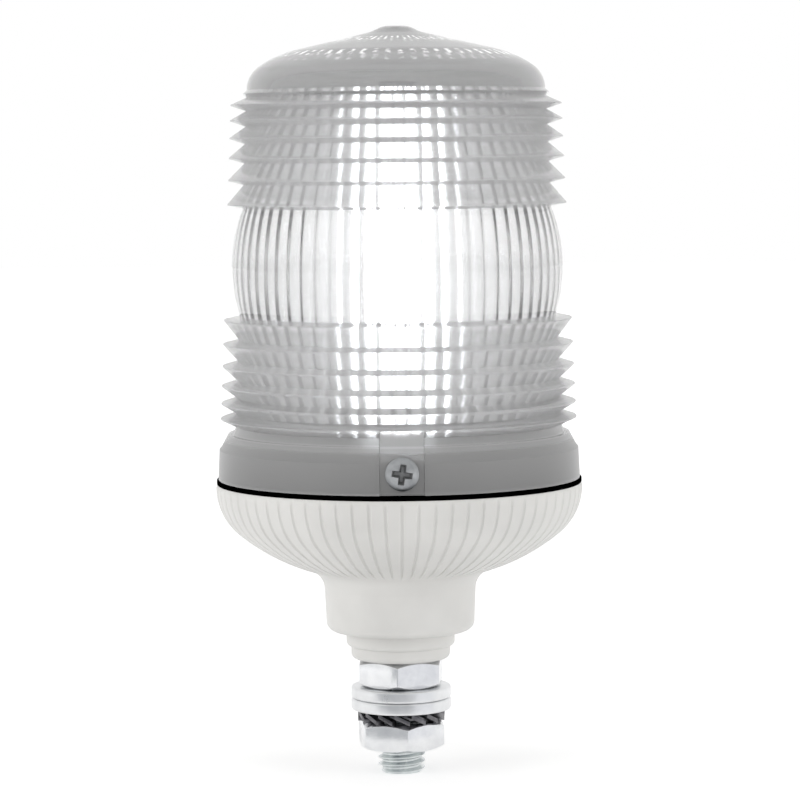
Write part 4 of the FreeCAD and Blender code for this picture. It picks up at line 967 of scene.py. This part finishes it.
# %% Bowl: lathe and grooves
COLUMN_ANGLES = (0.0, 0.34, 0.72, 1.0, 2.5, 4.0, 4.28, 4.66)
COLUMN_DEPTHS = (1.0, 0.85, 0.0, 0.0, 0.0, 0.0, 0.0, 0.85)
FADE_TOP = 0.2
FADE_END = 3.0
lathe(bm, GROOVE_COUNT * len(COLUMN_ANGLES))
bm.normal_update()
pitch = math.tau / GROOVE_COUNT
groove_high = BOWL_WIDE - GROOVE_TOP
groove_inner = fillet_centre.x - NECK_FILLET * math.cos(math.radians(fillet_turn))
for vert in bm.verts:
    r, z, angle = turned_place(vert)
    column = round(angle / pitch * len(COLUMN_ANGLES))
    rib, part = divmod(column, len(COLUMN_ANGLES))
    spot = Vector((r, z))
    off_sweep = abs((spot - sweep_centre).length - SWEEP)
    off_knuckle = abs((spot - knuckle_centre).length - KNUCKLE)
    on_bowl = min(off_sweep, off_knuckle) < ON_SURFACE
    fade = min((groove_high - z) / FADE_TOP, (r - groove_inner) / FADE_END, 1)
    depth = COLUMN_DEPTHS[part] * GROOVE_DEPTH * max(fade, 0) if on_bowl else 0
    slide = Matrix.Rotation(rib * pitch + math.radians(COLUMN_ANGLES[part]) - angle, 3, "Z")
    vert.co = slide @ (vert.co - vert.normal * depth * MM)
print("grooves", GROOVE_COUNT)

# %% [markdown]
# The base is white ABS with a fine spark-eroded skin. It scatters light broadly, with a faint gloss, and
# its white is a little warm.

# %% Bowl: white plastic
white_plastic = worked_finish(
    "white moulded ABS", ("#D6D5D2", "#DDDCD9"), (0.36, 0.46),
    grain=0.5, depth=0.012, patch=14.0, IOR=1.54,
)
finished("ribbed_bowl", bm, "beacon", white_plastic, ["base_housing"], sharp=40)

# %% [markdown]
# ## Collar
#
# The stepped collar under the neck is a turned section too. Each step has a large round on its lower edge.
# The spigot goes up into the neck, and the stud's head sits in its top.

# %% Collar
COLLAR_FOOT = low("stud_collar")
COLLAR_TOP = high("stud_collar")
COLLAR_NOSE = 10.5
COLLAR_NOSE_HEIGHT = 2.7
COLLAR_FLANGE = reach("stud_collar")
COLLAR_EDGE = 1.2
COLLAR_SPIGOT = 10.0
COLLAR_BORE = 5.1
HEAD_POCKET = 8.3
HEAD_HEIGHT = 5.0
step_z = COLLAR_FOOT + COLLAR_NOSE_HEIGHT
step_run = COLLAR_FLANGE - COLLAR_NOSE
pocket_floor = COLLAR_TOP - HEAD_HEIGHT
bm, pen = pen_down(COLLAR_BORE, COLLAR_FOOT)
pen = line(bm, pen, (COLLAR_NOSE - COLLAR_EDGE, COLLAR_FOOT))
pen = arc(bm, pen, (COLLAR_NOSE - COLLAR_EDGE, COLLAR_FOOT + COLLAR_EDGE), 90)
pen = line(bm, pen, (COLLAR_NOSE, step_z))
pen = arc(bm, pen, (COLLAR_NOSE, step_z + step_run), 90)
line(
    bm, pen,
    (COLLAR_FLANGE, NECK_FOOT), (COLLAR_SPIGOT, NECK_FOOT), (COLLAR_SPIGOT, COLLAR_TOP),
    (HEAD_POCKET, COLLAR_TOP), (HEAD_POCKET, pocket_floor), (COLLAR_BORE, pocket_floor),
    (COLLAR_BORE, COLLAR_FOOT),
)
lathe(bm, steps=128)
finished("stepped_collar", bm, "beacon", white_plastic, ["stud_collar"])

# %% [markdown]
# ## The threaded stud
#
# A thread is one ridge that climbs as it goes round. So one pitch of its profile is spun many times, with a
# small lift at each step. The lift of a full turn is the pitch, so the turns meet and their doubles merge.
# The ends are trimmed with planes, and the tip is limited to a cone. The profile's corners are given as
# shares of the pitch.

# %% Stud: thread
STUD_END = low("mounting_stud")
STUD_TOP = high("mounting_stud")
THREAD_PITCH = 1.5
THREAD_CREST = 5.0
THREAD_ROOT = 4.1
THREAD_TOP = 7.6
ROOT_END = 0.22
CREST_START = 0.54
CREST_END = 0.68
STUD_TIP = 4.1
STEPS_PER_TURN = 48
turns = math.ceil((THREAD_TOP - STUD_END) / THREAD_PITCH) + 2
start = STUD_END - THREAD_PITCH
bm, pen = pen_down(THREAD_ROOT, start)
line(
    bm, pen,
    (THREAD_ROOT, start + THREAD_PITCH * ROOT_END), (THREAD_CREST, start + THREAD_PITCH * CREST_START),
    (THREAD_CREST, start + THREAD_PITCH * CREST_END), (THREAD_ROOT, start + THREAD_PITCH),
)
bmesh.ops.spin(
    bm, geom=bm.verts[:] + bm.edges[:], cent=(0, 0, 0), axis=(0, 0, 1),
    dvec=(0, 0, THREAD_PITCH * MM / STEPS_PER_TURN), angle=math.tau * turns, steps=STEPS_PER_TURN * turns,
)
merge_doubles(bm, MERGE_WIDE)
for height, way in ((STUD_END, -1), (THREAD_TOP, 1)):
    bmesh.ops.bisect_plane(
        bm, geom=bm.verts[:] + bm.edges[:] + bm.faces[:],
        plane_co=(0, 0, height * MM), plane_no=(0, 0, way), clear_outer=True,
    )
for vert in bm.verts:
    limit = (STUD_TIP + vert.co.z / MM - STUD_END) * MM
    reach_now = vert.co.xy.length
    if reach_now > limit:
        vert.co.xy *= limit / reach_now
print("thread of", turns - 2, "turns")

# %% [markdown]
# The trimmed thread has two open loops of edges. One is carried up the bore, the wire passage. The other is
# carried up the plain shank and round the hexagon head, until a bridge joins them on top. So the stud is one
# closed solid. Its zinc is a little darker than that of the nuts.

# %% Stud: bore, shank and head
STUD_BORE = 2.6
BORE_CHAMFER = 0.3
HEAD_FLATS = 14.0
HEX_STEP = math.radians(60)


def carry_on(bm, loop, radius, height, hexagon=False):
    """Extrudes an open loop to a circle, or to a hexagon with its flats at a radius."""
    made = bmesh.ops.extrude_edge_only(bm, edges=loop)["geom"]
    for vert in (item for item in made if isinstance(item, bmesh.types.BMVert)):
        off_flat = math.remainder(math.atan2(vert.co.y, vert.co.x) - HEX_STEP / 2, HEX_STEP)
        reach_out = radius / math.cos(off_flat) if hexagon else radius
        vert.co.xy = vert.co.xy.normalized() * reach_out * MM
        vert.co.z = height * MM
    return [item for item in made if isinstance(item, bmesh.types.BMEdge) and item.is_boundary]


open_edges = [edge for edge in bm.edges if edge.is_boundary]
tip_loop = [edge for edge in open_edges if edge.verts[0].co.z < 0]
shank_loop = [edge for edge in open_edges if edge.verts[0].co.z > 0]
tip_loop = carry_on(bm, tip_loop, STUD_BORE + BORE_CHAMFER, STUD_END)
tip_loop = carry_on(bm, tip_loop, STUD_BORE, STUD_END + BORE_CHAMFER)
bore_loop = carry_on(bm, tip_loop, STUD_BORE, STUD_TOP)
head_foot = STUD_TOP - HEAD_HEIGHT
for height in (THREAD_TOP, head_foot):
    shank_loop = carry_on(bm, shank_loop, THREAD_CREST, height)
for height in (head_foot, STUD_TOP):
    shank_loop = carry_on(bm, shank_loop, HEAD_FLATS / 2, height, hexagon=True)
bmesh.ops.bridge_loops(bm, edges=bore_loop + shank_loop)
close_up(bm)
print("open edges of the stud", sum(edge.is_boundary for edge in bm.edges))
stud_zinc = worked_finish(
    "zinc plated stud", ("#C8CDCE", "#DEE2E2"), (0.18, 0.28),
    grain=0.5, depth=0.01, patch=2.0, Metallic=1.0,
)
finished("threaded_stud", bm, "beacon", stud_zinc, ["mounting_stud"])

# %% [markdown]
# ## Nuts
#
# Fresh zinc plating is bright with a bluish cast, and handling leaves faint patches of other gloss.

# %% Bright zinc
bright_zinc = worked_finish(
    "bright zinc plated steel", ("#DEDFE1", "#EAEBEC"), (0.18, 0.26),
    grain=0.6, depth=0.008, patch=3.0, Metallic=1.0,
)

# %% [markdown]
# The frame's nuts already have the right shape, with bevelled corners. A real nut's edges are never razor
# sharp, so a copy of each is merged, its flat faces are dissolved to one face each, and a small bevel gives
# the edges a line of light.

# %% Nuts
SAME_PLANE = 1.0


def merged_copy(node):
    """A copy of a frame node as clean faces."""
    bm = bmesh.new()
    bm.from_mesh(nodes[node].data)
    merge_doubles(bm, MERGE_WIDE)
    bmesh.ops.dissolve_limit(bm, angle_limit=math.radians(SAME_PLANE), verts=bm.verts, edges=bm.edges)
    return bm


def ease_edges(bm, width, sharp):
    """A small round along every edge that is sharper than an angle."""
    limit = math.radians(sharp)
    edges = [edge for edge in bm.edges if edge.is_manifold and edge.calc_face_angle() > limit]
    bmesh.ops.bevel(
        bm, geom=edges, offset=width * MM, offset_type="OFFSET", affect="EDGES", segments=2, profile=0.5,
        material=-1, clamp_overlap=True,
    )


for node, body, name in (
    ("jam_nut", "beacon", "hex_jam_nut"), ("clamp_nut", "clamp_nut", "hex_clamp_nut"),
):
    bm = merged_copy(node)
    ease_edges(bm, width=0.2, sharp=20)
    finished(name, bm, body, bright_zinc, [node], sharp=25)

# %% [markdown]
# The tooth lock washer is hardened spring steel with a dark finish. Its twisted teeth stand over and under
# the ring and catch light on their edges. So it gets the same treatment as the nuts, with a finer bevel.

# %% Tooth lock washer
spring_steel = worked_finish(
    "dark hardened spring steel", ("#5A595C", "#7C7B7E"), (0.26, 0.38),
    grain=0.5, depth=0.01, patch=1.5, Metallic=1.0,
)
bm = merged_copy("tooth_lock_washer")
ease_edges(bm, width=0.1, sharp=30)
finished("tooth_washer", bm, "washers", spring_steel, ["tooth_lock_washer"], sharp=30)

# %% [markdown]
# ## Flat washers
#
# Each washer is punched from strip, so its rim is rounded, and its faces carry faint turning marks. The
# marks are rings about the stud's axis. At scale 1 the wave texture repeats every tau / 20 units, and their
# spacing gives its scale.

# %% Flat washers
WASHER_EDGE = 0.5
WASHER_EASE = 0.15
WASHER_BORE = 5.25
RING_MARK = 0.5
MARK_DEPTH = 0.01
MARK_STRENGTH = 0.25
WAVE_LENGTH = math.tau / 20
washer_zinc = worked_finish(
    "zinc plated washer steel", ("#DBDCDD", "#E8E9EA"), (0.26, 0.36),
    grain=0.6, depth=0.008, patch=4.0, Metallic=1.0,
)
tree = washer_zinc.node_tree
shader = tree.nodes["Principled BSDF"]
place = add_node(tree, "ShaderNodeTexCoord").outputs["Object"]
marks = add_node(
    tree, "ShaderNodeTexWave", wave_type="RINGS", rings_direction="Z", links={"Vector": place},
    sockets={"Scale": WAVE_LENGTH / (RING_MARK * MM), "Distortion": 0.6, "Detail": 1.0},
)
relief = add_node(
    tree, "ShaderNodeBump", links={"Height": marks.outputs["Fac"]},
    sockets={"Strength": MARK_STRENGTH, "Distance": MARK_DEPTH * MM},
)
tree.links.new(shader.inputs["Normal"].links[0].from_socket, relief.inputs["Normal"])
tree.links.new(relief.outputs["Normal"], shader.inputs["Normal"])
for node, body, name in (
    ("upper_washer", "beacon", "panel_washer"), ("lower_washer", "washers", "clamp_washer"),
):
    foot, top, rim = low(node), high(node), reach(node)
    eased_bore = WASHER_BORE + WASHER_EASE
    bm, pen = pen_down(WASHER_BORE, foot + WASHER_EASE)
    pen = line(bm, pen, (eased_bore, foot), (rim - WASHER_EDGE, foot))
    pen = arc(bm, pen, (rim - WASHER_EDGE, foot + WASHER_EDGE), 90, steps=5)
    pen = line(bm, pen, (rim, top - WASHER_EDGE))
    pen = arc(bm, pen, (rim - WASHER_EDGE, top - WASHER_EDGE), 90, steps=5)
    line(
        bm, pen,
        (eased_bore, top), (WASHER_BORE, top - WASHER_EASE), (WASHER_BORE, foot + WASHER_EASE),
    )
    lathe(bm, steps=96)
    finished(name, bm, body, washer_zinc, [node])

# %% [markdown]
# ## Inside the lens
#
# The frame's own solids stay for the parts inside: they are right in shape and seen only through the lens.
# Each gets the finish of its material. The grey chassis matters most, because the clear skirt shows it as a
# band: moulded ABS, with an even, slightly glossy grey.

# %% Chassis


def dress(finish, *names):
    """Gives some of the frame's nodes a finish."""
    for name in names:
        nodes[name].data.materials.clear()
        nodes[name].data.materials.append(finish)
    print(finish.name, "on", ", ".join(names))


grey_plastic = worked_finish(
    "grey moulded ABS", ("#6C6D6D", "#767777"), (0.30, 0.42),
    grain=0.6, depth=0.012, patch=10.0, IOR=1.54,
)
dress(grey_plastic, "chassis", "collar_ring_nut")

# %% [markdown]
# The plate under the lamp is enamelled white, to throw light up. The lamp's socket is ceramic, chalky and a
# little warm. The plate hides the flash circuit: a green board with a satin mask, black sleeve with a soft
# gloss, dull sintered ferrite, shiny tape, copper under clear enamel, nylon and plated brass.

# %% Plate, socket and flash circuit
for node, name, colours, roughness, grain, depth, patch, metallic in (
    ("reflector_plate", "white reflector enamel", ("#ECECEA", "#F4F4F2"), (0.25, 0.35), 1.0, 0.01, 12.0, 0.0),
    ("tube_socket", "unglazed socket ceramic", ("#E6E2DA", "#EFECE6"), (0.55, 0.7), 0.5, 0.03, 5.0, 0.0),
    ("circuit_board", "green board laminate", ("#1F5A36", "#2A6B42"), (0.3, 0.4), 0.5, 0.01, 6.0, 0.0),
    ("storage_capacitor", "black shrink sleeve", ("#141518", "#1E2024"), (0.3, 0.45), 0.8, 0.02, 5.0, 0.0),
    ("transformer_core", "sintered ferrite", ("#2C2B2A", "#3A3836"), (0.55, 0.7), 0.4, 0.03, 3.0, 0.0),
    ("transformer_winding", "yellow winding tape", ("#C9A23A", "#D8B450"), (0.25, 0.35), 1.5, 0.04, 4.0, 0.0),
    ("trigger_coil", "enamelled copper wire", ("#7A3A1C", "#96502A"), (0.2, 0.3), 0.3, 0.04, 2.0, 0.8),
    ("terminal_block", "green terminal nylon", ("#2F6E4A", "#387C55"), (0.35, 0.5), 0.5, 0.015, 5.0, 0.0),
    ("terminal_screws", "nickel plated brass", ("#B8AE8E", "#CCC3A4"), (0.2, 0.32), 0.4, 0.01, 2.0, 1.0),
):
    dress(worked_finish(name, colours, roughness, grain, depth, patch, Metallic=metallic), node)
dress(dull_zinc, "chassis_screws")

# %% [markdown]
# ## The flash lamp
#
# A U of xenon-filled glass, lit in the photograph: it is the bright column behind the flutes. The arc is a
# plain emission, strong enough to show as white through the lens. A clear glass sleeve stands over it, with
# a faint painted glow that stands for the light it scatters. Like the lens, it casts no shadow.

# %% Flash lamp finishes
TUBE_GLOW = 10.0
SLEEVE_PAINTED_GLOW = 0.4
lit_tube, _, _ = new_finish(
    "lit xenon tube", Base_Color=hex_colour("#F4F7FF"), Roughness=0.2,
    Emission_Color=hex_colour("#FAFBFF"), Emission_Strength=TUBE_GLOW,
)
dress(lit_tube, "flash_tube")
electrode = worked_finish(
    "tungsten electrode", ("#6E6C6A", "#8A8886"), (0.3, 0.45),
    grain=0.3, depth=0.01, patch=1.0, Metallic=1.0,
)
dress(electrode, "tube_electrodes", "trigger_wire")
# The sleeve is no lamp: its emission is a painted glow.
sleeve_glass, _, _ = new_finish(
    "clear borosilicate glass", Base_Color=hex_colour("#F6F8F8"), Roughness=0.02, IOR=1.47,
    Transmission_Weight=1.0, Emission_Color=hex_colour("#FCFCFF"), Emission_Strength=SLEEVE_PAINTED_GLOW,
)
dress(sleeve_glass, "tube_envelope")
nodes["tube_envelope"].visible_shadow = False
